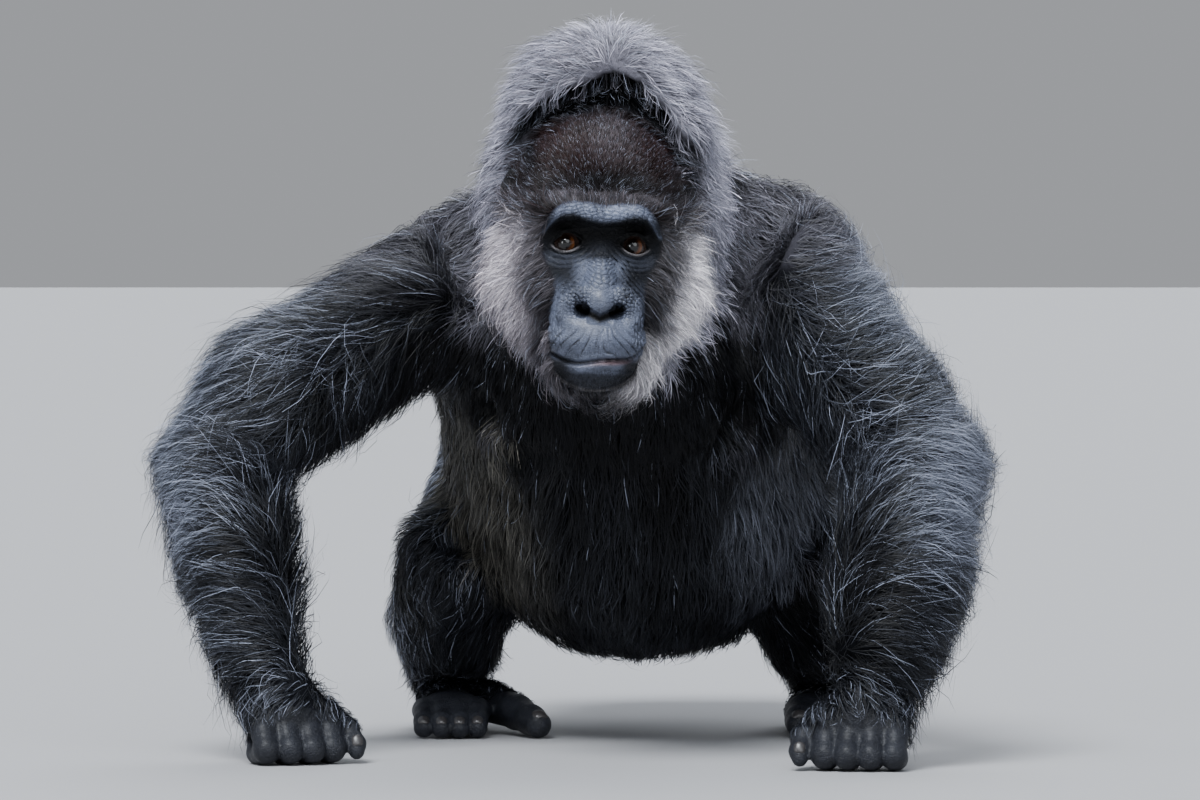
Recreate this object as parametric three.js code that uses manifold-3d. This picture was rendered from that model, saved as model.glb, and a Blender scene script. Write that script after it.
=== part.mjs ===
// A female western lowland gorilla walking on her knuckles, as a still, life-size model.
// Millimetres, +Z up. She faces -Y, and her own left side is at +X.
// Every solid shows the outside of the coat. The body is described by round forms, such as balls
// and tapering bones, that flow into each other. One mesh is drawn over all of them and parted
// where two neighbours are equally near.
import * as THREE from "three";
import { mergeVertices } from "three/addons/utils/BufferGeometryUtils.js";
import Module from "manifold-3d";

const wasm = await Module();
wasm.setup();

// ---- Driving dimensions ----
const eyeHeight = 512; // floor to the middle between the eyes
const eyeReach = -400; // how far the eyes are in front of the body's middle
const headAcross = -18; // the head is carried a little to her right
const headRoll = 3; // degrees
const headTurn = 4; // degrees, towards her left
const eyeSpacing = 33; // half the distance between the pupils
const eyeRadius = 12.5;
const socketClearance = 0.7;
const fingerPitch = 23; // from one finger to the next
const toePitch = 19;
const leastGap = 0.4;
const gapShare = 0.04; // to which a part adds this share of its mesh size
const flatGap = 1; // cut at a flat seat
const gapWidening = 0.2; // a curved cut widens inwards by this share of the depth below the skin
const boxMargin = 60; // room round a part's own forms, for what flows into it

// ---- Round forms: each returns the distance from a point to its skin, negative inside ----

function ball(centre, rx, ry = rx, rz = rx) {
  const [cx, cy, cz] = centre;
  const distance = (x, y, z) => {
    const ax = (x - cx) / rx;
    const ay = (y - cy) / ry;
    const az = (z - cz) / rz;
    const near = Math.hypot(ax, ay, az);
    const slope = Math.hypot(ax / rx, ay / ry, az / rz);
    return slope < 1e-9 ? -Math.min(rx, ry, rz) : (near * (near - 1)) / slope;
  };
  distance.low = [cx - rx, cy - ry, cz - rz];
  distance.high = [cx + rx, cy + ry, cz + rz];
  return distance;
}

// A tapering bone from one joint to the next. Flat is its height over its width.
function bone(from, fromRadius, to, toRadius, flat = 1) {
  const [ax, ay, az] = from;
  const along = [to[0] - ax, to[1] - ay, (to[2] - az) / flat];
  const square = along[0] ** 2 + along[1] ** 2 + along[2] ** 2;
  const distance = (x, y, z) => {
    const px = x - ax;
    const py = y - ay;
    const pz = (z - az) / flat;
    const dot = px * along[0] + py * along[1] + pz * along[2];
    const t = Math.min(1, Math.max(0, dot / square));
    const away = Math.hypot(px - t * along[0], py - t * along[1], pz - t * along[2]);
    return (away - fromRadius - t * (toRadius - fromRadius)) * Math.min(1, flat);
  };
  distance.low = from.map((v, i) => Math.min(v - fromRadius, to[i] - toRadius));
  distance.high = from.map((v, i) => Math.max(v + fromRadius, to[i] + toRadius));
  return distance;
}

// A row of bones through joints given as [x, y, z, radius].
function chain(joints, flat = 1) {
  return joints.slice(1).map((to, i) => {
    const from = joints[i];
    return bone(from.slice(0, 3), from[3], to.slice(0, 3), to[3], flat);
  });
}

// Two forms as one, with a fillet about as wide as blend.
function flow(a, b, blend) {
  const h = Math.max(blend - Math.abs(a - b), 0) / blend;
  return Math.min(a, b) - (h * h * blend) / 4;
}

const pair = (make) => [make(-1), make(1)]; // her right side, then her left

// ---- The head has its own frame, with its origin between the eyes ----

const headFrame = new THREE.Matrix4()
  .makeTranslation(headAcross, eyeReach, eyeHeight)
  .multiply(new THREE.Matrix4().makeRotationY(THREE.MathUtils.degToRad(headRoll)))
  .multiply(new THREE.Matrix4().makeRotationZ(THREE.MathUtils.degToRad(headTurn)));
const intoHead = headFrame.clone().invert().elements;

// A form given in the head's frame, as a form in the body's.
function onHead(form) {
  const m = intoHead;
  const distance = (x, y, z) =>
    form(
      m[0] * x + m[4] * y + m[8] * z + m[12],
      m[1] * x + m[5] * y + m[9] * z + m[13],
      m[2] * x + m[6] * y + m[10] * z + m[14],
    );
  const box = new THREE.Box3(new THREE.Vector3(...form.low), new THREE.Vector3(...form.high));
  box.applyMatrix4(headFrame);
  distance.low = box.min.toArray();
  distance.high = box.max.toArray();
  return distance;
}

const brow = (side) => bone([0, -23, 27], 14, [side * 50, -11, 24], 15);
const cheekbone = (side) => bone([side * 56, -1, 12], 14, [side * 48, 8, -38], 18);
const temple = (side) => ball([side * 40, 40, 40], 46, 50, 50);
const noseWing = (side) => ball([side * 19, -36, -71], 18, 17, 15);
const socket = (side) => ball([side * eyeSpacing, -29, -2], 20, 16, 12);
const nostril = (side) => ball([side * 13, -55, -73], 9, 11, 6);

const cranium = ball([-2, 56, 50], 86, 84, 88);
const ruff = ball([4, 66, -38], 128, 62, 96);
const beard = ball([12, 38, -106], 74, 50, 73);
const midface = ball([0, 14, -40], 54, 46, 60);
const muzzle = bone([0, 8, -52], 43, [0, -9, -86], 46);
const noseBridge = bone([0, -8, -6], 10, [0, -34, -58], 15);
const noseTip = ball([0, -44, -67], 14, 13, 13);
const upperLip = ball([0, -16, -92], 46, 41, 20);
const chin = ball([0, -3, -116], 44, 40, 28);

// The nape is bunched up behind the crown as a hood, whose front edge hangs over it.
const nape = ball([4, 132, 40], 131, 80, 108);
const hood = ball([5, 130, 100], 118, 98, 131);
const hoodPeak = [12, 46, 182];
const hoodEdges = [
  bone(hoodPeak, 30, [-78, 56, 126], 30),
  bone(hoodPeak, 30, [90, 56, 110], 30),
];

// ---- Limbs: joints as [x, y, z, radius at the coat's outside] ----

const rightArm = {
  shoulder: [-150, -98, 480, 82],
  biceps: [-345, -200, 355, 79],
  elbow: [-406, -240, 292, 58],
  elbowTip: [-430, -218, 288, 24],
  belowElbow: [-376, -262, 205, 70],
  aboveWrist: [-354, -284, 118, 53],
  wrist: [-338, -295, 76, 47],
  knuckles: [-322, -324, 44],
  seat: [-185, -110, 470],
  reach: [-0.93, -0.37, 0], // the way the arm leaves the chest
  heading: [0.35, -0.94], // where the fingers point, seen from above
  inward: 1,
};
const leftArm = {
  shoulder: [154, -92, 496, 88],
  biceps: [262, -236, 344, 72],
  elbow: [300, -300, 288, 66],
  elbowTip: [348, -278, 292, 27],
  belowElbow: [277, -344, 192, 76],
  aboveWrist: [256, -374, 112, 65],
  wrist: [246, -386, 76, 52],
  knuckles: [237, -408, 44],
  seat: [185, -120, 470],
  reach: [0.75, -0.66, 0],
  heading: [-0.12, -0.99],
  inward: -1,
};
const rightLeg = {
  hip: [-66, 310, 340, 112],
  lap: [-128, 150, 232, 76],
  knee: [-168, 36, 184, 64],
  calf: [-176, 116, 116, 62],
  ankle: [-180, 196, 60, 44],
  heel: [-178, 236, 32, 33],
  sole: [-172, 70, 26, 44],
  hallux: [[-136, 136, 34, 27], [-104, 76, 26, 22], [-82, 24, 17, 17]],
};
const leftLeg = {
  hip: [106, 310, 340, 112],
  lap: [168, 150, 232, 76],
  knee: [204, 36, 184, 64],
  calf: [204, 116, 116, 62],
  ankle: [214, 196, 60, 44],
  heel: [220, 236, 32, 33],
  sole: [238, 70, 26, 44],
  hallux: [[206, 136, 32, 26], [192, 76, 25, 21], [188, 26, 17, 17]],
};

// Four fingers folded under, so that she stands on their middle joints, and a short thumb.
function handForms({ wrist, knuckles, heading, inward }) {
  const [hx, hy] = heading;
  const across = [-hy * inward, hx * inward];
  const at = (ahead, aside, z) => [
    knuckles[0] + hx * ahead + across[0] * aside,
    knuckles[1] + hy * ahead + across[1] * aside,
    z,
  ];
  const forms = [];
  for (const place of [-1.5, -0.5, 0.5, 1.5]) {
    const aside = place * fingerPitch;
    const short = Math.abs(place) > 1 ? 5 : 0;
    forms.push(
      bone(wrist.slice(0, 3), 36, at(0, aside * 0.9, knuckles[2]), 24),
      ...chain([
        [...at(0, aside * 0.95, knuckles[2]), 21],
        [...at(30 - short, aside, 17), 17.5],
        [...at(2 - short, aside, 13), 14.5],
        [...at(-13, aside * 0.9, 24), 11],
      ]),
    );
  }
  forms.push(...chain([[...at(-14, 44, 46), 17], [...at(8, 58, 30), 13], [...at(22, 60, 16), 10]]));
  return forms;
}

// A flat foot with four toes ahead and the great toe standing off like a thumb.
function footForms({ ankle, heel, sole, hallux }) {
  const forms = [
    bone(ankle.slice(0, 3), 40, heel.slice(0, 3), 33),
    bone(ankle.slice(0, 3), 40, [sole[0], sole[1] + 40, sole[2]], 30),
    bone(heel.slice(0, 3), heel[3], sole.slice(0, 3), sole[3], 0.66),
    ...chain(hallux),
  ];
  for (const place of [-1.5, -0.5, 0.5, 1.5]) {
    const x = sole[0] + place * toePitch;
    const reach = 58 - 5 * Math.abs(place);
    forms.push(
      ...chain([
        [x, sole[1] - 6, 26, 17],
        [x, sole[1] - reach + 22, 24, 14.5],
        [x, sole[1] - reach, 13, 12.5],
      ]),
    );
  }
  return forms;
}

const upperArmForms = (arm) => chain([arm.shoulder, arm.biceps, arm.elbow]);
const forearmForms = (arm) => [
  ...chain([arm.elbow, arm.belowElbow, arm.aboveWrist, arm.wrist]),
  bone(arm.elbow.slice(0, 3), 40, arm.elbowTip.slice(0, 3), arm.elbowTip[3]),
];
const thighForms = (leg) => chain([leg.hip, leg.lap, leg.knee]);
const shinForms = (leg) => chain([leg.knee, leg.calf, leg.ankle]);

// ---- Flat seats: a point of the cut, and the way from there into the part ----

const seatAt = (point, into) => [new THREE.Vector3(...point), new THREE.Vector3(...into).normalize()];
const beyond = ([point, into], x, y, z) =>
  (x - point.x) * into.x + (y - point.y) * into.y + (z - point.z) * into.z;

// Square to a bone, at its end.
function seatPast(before, joint) {
  return seatAt(joint.slice(0, 3), [0, 1, 2].map((i) => joint[i] - before[i]));
}

// Across a joint, halfway between the bones on either side of it.
function seatAcross(before, joint, after) {
  const arriving = seatPast(before, joint)[1];
  const leaving = seatPast(joint, after)[1];
  return seatAt(joint.slice(0, 3), arriving.add(leaving).toArray());
}

// ---- Finishes ----

const finish = (color, roughness) => new THREE.MeshStandardMaterial({ color, roughness, metalness: 0 });
const blackCoat = finish(0x17171b, 0.75);
const greyCoat = finish(0x6c6770, 0.8);
const brownCoat = finish(0x2c2220, 0.8);
const bareSkin = finish(0x2b2e35, 0.45);
const eyeGloss = finish(0x2a1209, 0.1);

// ---- The body's parts ----
// Each flows into the part it is on, within a join about that wide. A part with a seat is cut flat
// there from the parts it is taken from, and the others are parted where two are equally near.

const trunk = ["chest", "belly", "hips"];
const parts = [
  { name: "chest", coat: blackCoat, cell: 46, blend: 60, forms: [
    ball([2, -20, 396], 196, 190, 172),
    ...pair((side) => ball([5 + side * 78, -150, 338], 72, 58, 52)),
    bone([-55, -120, 522], 78, [-122, -104, 497], 78),
    bone([60, -120, 530], 80, [136, -98, 510], 84),
    bone([0, -70, 470], 130, [12, 120, 430], 140),
  ] },
  { name: "belly", on: "chest", join: 70, coat: blackCoat, cell: 46, blend: 60, forms: [
    ball([20, 70, 262], 202, 238, 189),
    bone([12, 60, 430], 140, [15, 220, 385], 135),
  ], seat: seatAt([0, -25, 450], [0, 0.65, -0.76]), from: ["chest"] },
  { name: "hips", on: "belly", join: 80, coat: blackCoat, cell: 46, blend: 60, forms: [
    ball([15, 290, 338], 160, 160, 162),
    ...pair((side) => ball([15 + side * 72, 372, 292], 92, 100, 108)),
  ], seat: seatAt([0, 195, 345], [0, 1, -0.12]), from: ["chest", "belly"] },
  { name: "neck", on: "chest", join: 60, coat: greyCoat, cell: 30, blend: 26, forms: [
    onHead(nape),
    onHead(hood),
    ...hoodEdges.map(onHead),
    bone([-8, -205, 636], 92, [4, -50, 512], 122),
    bone([-14, -262, 556], 112, [4, -90, 486], 126),
    bone([-14, -262, 452], 74, [5, -150, 410], 108),
  ], seat: seatAt([0, -130, 520], [0, -0.74, 0.67]), from: trunk },
  { name: "head", on: "neck", join: 8, coat: brownCoat, cell: 18, blend: 16, forms: [
    cranium,
    ...pair(brow),
    ...pair(cheekbone),
    ...pair(temple),
    midface,
    ruff,
    beard,
  ].map(onHead) },
  { name: "muzzle", on: "head", join: 12, coat: bareSkin, cell: 12.5, blend: 9, forms: [
    muzzle,
    noseBridge,
    noseTip,
    ...pair(noseWing),
    upperLip,
  ].map(onHead) },
  { name: "jaw", on: "muzzle", join: 3, coat: bareSkin, cell: 13.5, blend: 8, forms: [onHead(chin)] },
];

const flanks = [["right", rightArm, rightLeg], ["left", leftArm, leftLeg]];
for (const [side, arm, leg] of flanks) {
  const named = (name) => `${name}_${side}`;
  const [upperArm, forearm, hand] = ["upper_arm", "forearm", "hand"].map(named);
  const [thigh, shin, foot] = ["thigh", "shin", "foot"].map(named);
  parts.push(
    { name: upperArm, on: "chest", join: 45, coat: blackCoat, cell: 44, blend: 30,
      forms: upperArmForms(arm), seat: seatAt(arm.seat, arm.reach), from: trunk },
    { name: forearm, on: upperArm, join: 26, coat: blackCoat, cell: 36, blend: 24,
      forms: forearmForms(arm), seat: seatAcross(arm.biceps, arm.elbow, arm.belowElbow), from: [upperArm] },
    { name: hand, on: forearm, join: 20, coat: bareSkin, cell: 19, blend: 7,
      forms: handForms(arm), seat: seatPast(arm.aboveWrist, arm.wrist), from: [forearm, upperArm] },
    { name: thigh, on: "hips", join: 60, coat: blackCoat, cell: 44, blend: 30,
      forms: thighForms(leg) },
    { name: shin, on: thigh, join: 26, coat: blackCoat, cell: 34, blend: 24,
      forms: shinForms(leg), seat: seatAcross(leg.lap, leg.knee, leg.calf), from: [thigh] },
    { name: foot, on: shin, join: 18, coat: bareSkin, cell: 21, blend: 9,
      forms: footForms(leg), seat: seatAt(leg.ankle, [0, 0, -1]), from: [shin, thigh] },
  );
}

for (const part of parts) {
  const { forms, blend } = part;
  part.distance = (x, y, z) => {
    let d = forms[0](x, y, z);
    for (let i = 1; i < forms.length; i++) d = flow(d, forms[i](x, y, z), blend);
    return d;
  };
  part.low = [0, 1, 2].map((i) => {
    const low = Math.min(...forms.map((f) => f.low[i])) - boxMargin;
    return Math.floor(low / part.cell) * part.cell;
  });
  part.high = [0, 1, 2].map((i) => Math.max(...forms.map((f) => f.high[i])) + boxMargin);
  part.carrier = parts.find((other) => other.name === part.on);
}

// What bounds a part, as three layers: the whole body's skin, the parting from its neighbours and
// the floor. Each part flows into its carrier only, so a forearm doesn't melt into the belly.
const carved = [...pair(socket), ...pair(nostril)].map(onHead);
const carveBlend = 6;
const floorLayer = 2;
function layersOf(part) {
  const gap = leastGap + part.cell * gapShare;
  const behind = parts.filter((other) => part.seat && part.from.includes(other.name));
  const seated = parts.filter((other) => other.seat && other.from.includes(part.name));
  const flatlyCut = new Set([part, ...behind, ...seated]);
  return (x, y, z) => {
    for (const each of parts) each.now = each.distance(x, y, z);
    let skin = parts[0].now;
    let nearest = Infinity;
    for (const each of parts) {
      if (each.carrier) skin = Math.min(skin, flow(each.now, each.carrier.now, each.join));
      if (!flatlyCut.has(each)) nearest = Math.min(nearest, each.now);
    }
    for (const hollow of carved) skin = -flow(-skin, hollow(x, y, z), carveBlend);
    let parting = part.now - nearest + gap + gapWidening * Math.max(0, -skin);
    if (part.seat) parting = Math.max(parting, flatGap / 2 - beyond(part.seat, x, y, z));
    for (const each of seated) parting = Math.max(parting, flatGap / 2 + beyond(each.seat, x, y, z));
    return [skin, parting, -z];
  };
}

// ---- Drawing a closed mesh over a part ----

const cornerSteps = [0, 1, 2, 3, 4, 5, 6, 7].map((c) => [c & 1, (c >> 1) & 1, (c >> 2) & 1]);
const cellEdges = [
  [0, 1], [2, 3], [4, 5], [6, 7],
  [0, 2], [1, 3], [4, 6], [5, 7],
  [0, 4], [1, 5], [2, 6], [3, 7],
];

// A net of quads with one point in each cell that the part's surface crosses. A point slides on to
// every layer that passes through its cell, so the edges between two layers stay sharp.
function netOver(layers, low, high, cell) {
  const count = low.map((v, i) => Math.ceil((high[i] - v) / cell) + 1);
  const [nx, ny, nz] = count;
  const values = new Float32Array(nx * ny * nz);
  const outermost = new Uint8Array(nx * ny * nz);
  const at = (i, j, k) => i + nx * (j + ny * k);
  for (let k = 0; k < nz; k++) {
    for (let j = 0; j < ny; j++) {
      for (let i = 0; i < nx; i++) {
        const all = layers(low[0] + i * cell, low[1] + j * cell, low[2] + k * cell);
        const most = Math.max(...all);
        outermost[at(i, j, k)] = all.indexOf(most);
        values[at(i, j, k)] = most || 1e-6;
      }
    }
  }
  openPinches(values, count, at);
  const positions = [];
  const pointOf = new Int32Array(nx * ny * nz).fill(-1);
  for (let k = 0; k < nz - 1; k++) {
    for (let j = 0; j < ny - 1; j++) {
      for (let i = 0; i < nx - 1; i++) {
        const corners = cornerSteps.map(([a, b, c]) => at(i + a, j + b, k + c));
        const sum = [0, 0, 0];
        const passing = new Set();
        let crossings = 0;
        for (const [p, q] of cellEdges) {
          const vp = values[corners[p]];
          const vq = values[corners[q]];
          if (vp < 0 === vq < 0) continue;
          const t = vp / (vp - vq);
          for (let n = 0; n < 3; n++) {
            sum[n] += cornerSteps[p][n] + t * (cornerSteps[q][n] - cornerSteps[p][n]);
          }
          passing.add(outermost[corners[vp < 0 ? q : p]]);
          crossings++;
        }
        if (!crossings) continue;
        pointOf[at(i, j, k)] = positions.length / 3;
        const centre = [i, j, k].map((step, n) => low[n] + cell * (step + 0.5));
        const start = centre.map((v, n) => v + cell * (sum[n] / crossings - 0.5));
        positions.push(...settled(start, centre, layers, passing, cell));
      }
    }
  }
  return { positions, triangles: trianglesOf(positions, values, pointOf, count, at) };
}

// Where the inside of a part meets itself only across a corner, its shallower side is let go.
function openPinches(values, [nx, ny, nz], at) {
  const [aside, behind, above] = [at(1, 0, 0), at(0, 1, 0), at(0, 0, 1)];
  const corners = [[aside, behind], [behind, above], [above, aside]];
  let found = true;
  while (found) {
    found = false;
    for (let k = 0; k < nz - 1; k++) {
      for (let j = 0; j < ny - 1; j++) {
        for (let i = 0; i < nx - 1; i++) {
          for (const [u, w] of corners) {
            const a = at(i, j, k);
            const [near, far] = values[a] < 0 ? [a, a + u + w] : [a + u, a + w];
            const [left, right] = values[a] < 0 ? [a + u, a + w] : [a, a + u + w];
            if (values[near] >= 0 || values[far] >= 0 || values[left] < 0 || values[right] < 0) continue;
            const shallow = values[near] > values[far] ? near : far;
            values[shallow] = -values[shallow];
            found = true;
          }
        }
      }
    }
  }
}

function settled(start, centre, layers, passing, cell) {
  const step = cell / 20;
  const reach = cell * 0.55;
  const point = [...start];
  const rounds = passing.size > 1 ? 6 : 3;
  for (let round = 0; round < rounds; round++) {
    for (const layer of passing) {
      const d = layers(...point)[layer];
      const slope = [0, 1, 2].map((n) => {
        const ahead = [...point];
        ahead[n] += step;
        return (layers(...ahead)[layer] - d) / step;
      });
      const steep = slope.reduce((s, g) => s + g * g, 0);
      if (steep < 0.05) continue;
      for (let n = 0; n < 3; n++) {
        const next = point[n] - (d * slope[n]) / steep;
        point[n] = Math.min(centre[n] + reach, Math.max(centre[n] - reach, next));
      }
    }
  }
  point[2] = passing.has(floorLayer) ? 0 : Math.max(0, point[2]);
  return point;
}

const spread = (positions, p, q) =>
  Math.hypot(...[0, 1, 2].map((n) => positions[3 * p + n] - positions[3 * q + n]));

// Each quad is split along its shorter diagonal.
function trianglesOf(positions, values, pointOf, count, at) {
  const triangles = [];
  const unit = [[1, 0, 0], [0, 1, 0], [0, 0, 1]];
  for (let k = 0; k < count[2] - 1; k++) {
    for (let j = 0; j < count[1] - 1; j++) {
      for (let i = 0; i < count[0] - 1; i++) {
        const inside = values[at(i, j, k)] < 0;
        for (let n = 0; n < 3; n++) {
          const [a, b, c] = unit[n];
          if (inside === values[at(i + a, j + b, k + c)] < 0) continue;
          const u = unit[(n + 1) % 3];
          const w = unit[(n + 2) % 3];
          const corner = (s, t) =>
            pointOf[at(i - s * u[0] - t * w[0], j - s * u[1] - t * w[1], k - s * u[2] - t * w[2])];
          const quad = [corner(0, 0), corner(1, 0), corner(1, 1), corner(0, 1)];
          if (!inside) quad.reverse();
          const [p, q, r, t] = quad;
          const across = spread(positions, p, r) < spread(positions, q, t);
          triangles.push(...(across ? [p, q, r, p, r, t] : [q, r, t, q, t, p]));
        }
      }
    }
  }
  return triangles;
}

function solidFromNet({ positions, triangles }) {
  return new wasm.Manifold(
    new wasm.Mesh({
      numProp: 3,
      vertProperties: new Float32Array(positions),
      triVerts: new Uint32Array(triangles),
    }),
  );
}

// A three.js shape as a solid that can cut and join.
function solidFromShape(shape) {
  const bare = shape.clone();
  bare.deleteAttribute("normal");
  bare.deleteAttribute("uv");
  const merged = mergeVertices(bare, 1e-3);
  return solidFromNet({ positions: merged.attributes.position.array, triangles: merged.index.array });
}

function geometryOf(solid) {
  const { vertProperties, numProp, numVert, triVerts } = solid.getMesh();
  const positions = new Float32Array(numVert * 3);
  for (let i = 0; i < numVert; i++) {
    positions.set(vertProperties.subarray(i * numProp, i * numProp + 3), i * 3);
  }
  const geometry = new THREE.BufferGeometry();
  geometry.setAttribute("position", new THREE.BufferAttribute(positions, 3));
  geometry.setIndex(new THREE.BufferAttribute(triVerts, 1));
  geometry.computeVertexNormals();
  return geometry;
}

// ---- Eyes and ears ----

const eyePlace = (side) => new THREE.Vector3(side * eyeSpacing, -4, 0).applyMatrix4(headFrame);
const eyeBall = (side, radius, sides) => {
  const { x, y, z } = eyePlace(side);
  return new THREE.SphereGeometry(radius, sides, sides / 2).translate(x, y, z);
};

// A small round ear: a thick disc with a bowl in its outer face.
const earSize = { thick: 9, wide: 16, tall: 25 };
const earPlace = (side) =>
  headFrame.clone().multiply(
    new THREE.Matrix4()
      .makeTranslation(side * 91, 57, 50)
      .multiply(new THREE.Matrix4().makeRotationZ(side * THREE.MathUtils.degToRad(-24))),
  );
function ear(side) {
  const { thick, wide, tall } = earSize;
  const disc = new THREE.SphereGeometry(1, 10, 8).scale(thick, wide, tall);
  const bowl = new THREE.SphereGeometry(1, 8, 5)
    .scale(thick, wide * 0.66, tall * 0.7)
    .translate(side * thick * 0.75, -1, 2);
  const place = earPlace(side);
  return solidFromShape(disc.applyMatrix4(place)).subtract(solidFromShape(bowl.applyMatrix4(place)));
}
const earBed = (side) => {
  const { thick, wide, tall } = earSize;
  const grown = new THREE.SphereGeometry(1, 8, 6).scale(thick + 2.5, wide + 2.5, tall + 2.5);
  return solidFromShape(grown.applyMatrix4(earPlace(side)));
};

// ---- Parting the body ----

// The largest body of a cut, without the crumbs that a cut can leave.
const mainBody = (solid) => solid.decompose().sort((a, b) => b.volume() - a.volume())[0];

const beds = pair((side) => side).flatMap((side) => [
  solidFromShape(eyeBall(side, eyeRadius + socketClearance, 12)),
  earBed(side),
]);

const solids = parts.map((part) => {
  let solid = solidFromNet(netOver(layersOf(part), part.low, part.high, part.cell));
  if (["head", "neck"].includes(part.name)) {
    for (const bed of beds) solid = solid.subtract(bed);
  }
  return [part.name, mainBody(solid), part.coat];
});
for (const [side, label] of [[-1, "right"], [1, "left"]]) {
  solids.push([`eye_${label}`, solidFromShape(eyeBall(side, eyeRadius, 12)), eyeGloss]);
  solids.push([`ear_${label}`, ear(side), bareSkin]);
}

const gorilla = new THREE.Group();
for (const [name, solid, material] of solids) {
  const mesh = new THREE.Mesh(geometryOf(solid), material);
  mesh.name = name;
  gorilla.add(mesh);
}

// The origin is on the floor, under the middle of the whole animal.
const extent = new THREE.Box3().setFromObject(gorilla);
const middle = extent.getCenter(new THREE.Vector3());
gorilla.position.set(-middle.x, -middle.y, -extent.min.z);

export default gorilla;
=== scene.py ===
import math
import bmesh
import bpy
import numpy as np
import openvdb
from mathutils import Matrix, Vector, kdtree


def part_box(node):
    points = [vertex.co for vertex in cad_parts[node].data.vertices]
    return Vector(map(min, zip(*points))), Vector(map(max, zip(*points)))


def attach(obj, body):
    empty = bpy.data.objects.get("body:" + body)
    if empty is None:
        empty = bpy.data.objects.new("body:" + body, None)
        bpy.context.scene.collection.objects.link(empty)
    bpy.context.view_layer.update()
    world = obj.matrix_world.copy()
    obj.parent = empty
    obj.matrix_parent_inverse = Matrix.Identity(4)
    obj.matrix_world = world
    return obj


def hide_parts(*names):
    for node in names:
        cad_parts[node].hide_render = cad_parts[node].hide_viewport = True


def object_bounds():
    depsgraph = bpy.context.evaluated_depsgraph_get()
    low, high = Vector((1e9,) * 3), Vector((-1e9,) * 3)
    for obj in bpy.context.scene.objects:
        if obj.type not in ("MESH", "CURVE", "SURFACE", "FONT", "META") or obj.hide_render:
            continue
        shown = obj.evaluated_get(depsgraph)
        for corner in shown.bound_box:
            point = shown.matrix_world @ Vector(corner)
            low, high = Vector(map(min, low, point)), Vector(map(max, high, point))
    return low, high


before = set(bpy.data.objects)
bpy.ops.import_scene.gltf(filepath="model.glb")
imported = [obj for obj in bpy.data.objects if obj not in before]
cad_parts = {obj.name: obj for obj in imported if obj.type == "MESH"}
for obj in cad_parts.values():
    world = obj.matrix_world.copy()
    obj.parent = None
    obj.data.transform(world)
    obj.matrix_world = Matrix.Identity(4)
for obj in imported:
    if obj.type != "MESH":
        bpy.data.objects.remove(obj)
cadBox = [list(corner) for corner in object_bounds()]  # the solids' own box

# A gorilla on her knuckles: one skin with a fine face, hands and feet, eyes, nails and a coat of locks.
# Shapes are worked out in millimetres in the frame's axes (+Z up, she faces -Y) and drawn in metres.

rng = np.random.default_rng(11)


def boxOf(node):
    low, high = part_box(node)
    return np.array(low) * 1000, np.array(high) * 1000


def middleOf(node):
    low, high = boxOf(node)
    return (low + high) / 2


def unit(v):
    return v / np.maximum(np.linalg.norm(v, axis=-1, keepdims=True), 1e-9)


def valuesOf(items, name, width, kind=np.float32):  # a mesh layer as rows of numbers
    out = np.zeros(len(items) * width, kind)
    items.foreach_get(name, out)
    return out.reshape(-1, width)


def paint(mesh, layer, colours):
    rgba = np.ones((len(mesh.vertices), 4), np.float32)
    rgba[:, :3] = colours
    mesh.color_attributes.new(layer, "FLOAT_COLOR", "POINT").data.foreach_set("color", rgba.ravel())


def addObject(name, data):  # a mesh, lamp or camera as an object in the scene
    item = bpy.data.objects.new(name, data)
    bpy.context.scene.collection.objects.link(item)
    return item


# Round forms: how far points are from a form's surface, negative inside


def ball(p, centre, radii):
    q = (p - np.array(centre)) / np.array(radii)
    near = np.linalg.norm(q, axis=1)
    slope = np.linalg.norm(q / np.array(radii), axis=1)
    return near * (near - 1) / np.maximum(slope, 1e-6)


def bone(p, start, startRadius, end, endRadius, flat=1.0):
    squash = np.array([1, 1, 1 / flat])
    start, end = np.array(start) * squash, np.array(end) * squash
    along = end - start
    away = p * squash - start
    t = np.clip(away @ along / (along @ along), 0, 1)
    near = np.linalg.norm(away - t[:, None] * along, axis=1)
    return (near - startRadius - t * (endRadius - startRadius)) * min(1, flat)


def chain(p, joints, blend, flat=1.0):
    d = None
    for a, b in zip(joints, joints[1:]):
        one = bone(p, a[:3], a[3], b[:3], b[3], flat)
        d = one if d is None else flow(d, one, blend)
    return d


def flow(a, b, blend):  # two forms as one, with a fillet
    h = np.maximum(blend - np.abs(a - b), 0) / blend
    return np.minimum(a, b) - h * h * blend / 4


def carve(a, b, blend):  # b taken out of a, with a soft edge
    return -flow(-a, b, blend)


def bump(x, centre, width):  # a soft ridge across x
    return np.exp(-(((x - centre) / width) ** 2))


def rise(x, low, high):  # 0 below low, 1 above high
    t = np.clip((x - low) / (high - low), 0, 1)
    return t * t * (3 - 2 * t)


# Her places, all taken from the frame's nodes

eyeRight, eyeLeft = middleOf("eye_right"), middleOf("eye_left")
headX = unit(eyeLeft - eyeRight)
headY = unit(np.cross([0, 0, 1], headX))
headAxes = np.array([headX, headY, np.cross(headX, headY)])
eyes = (eyeRight + eyeLeft) / 2 + 4 * headY  # the head frame's zero, just behind the middles of the eyes


def inHead(p):
    return (p - eyes) @ headAxes.T


def fromHead(q):
    return q @ headAxes + eyes


# The face, in the head's own frame: x to her left, y back, z up, zero between the eyes

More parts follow.
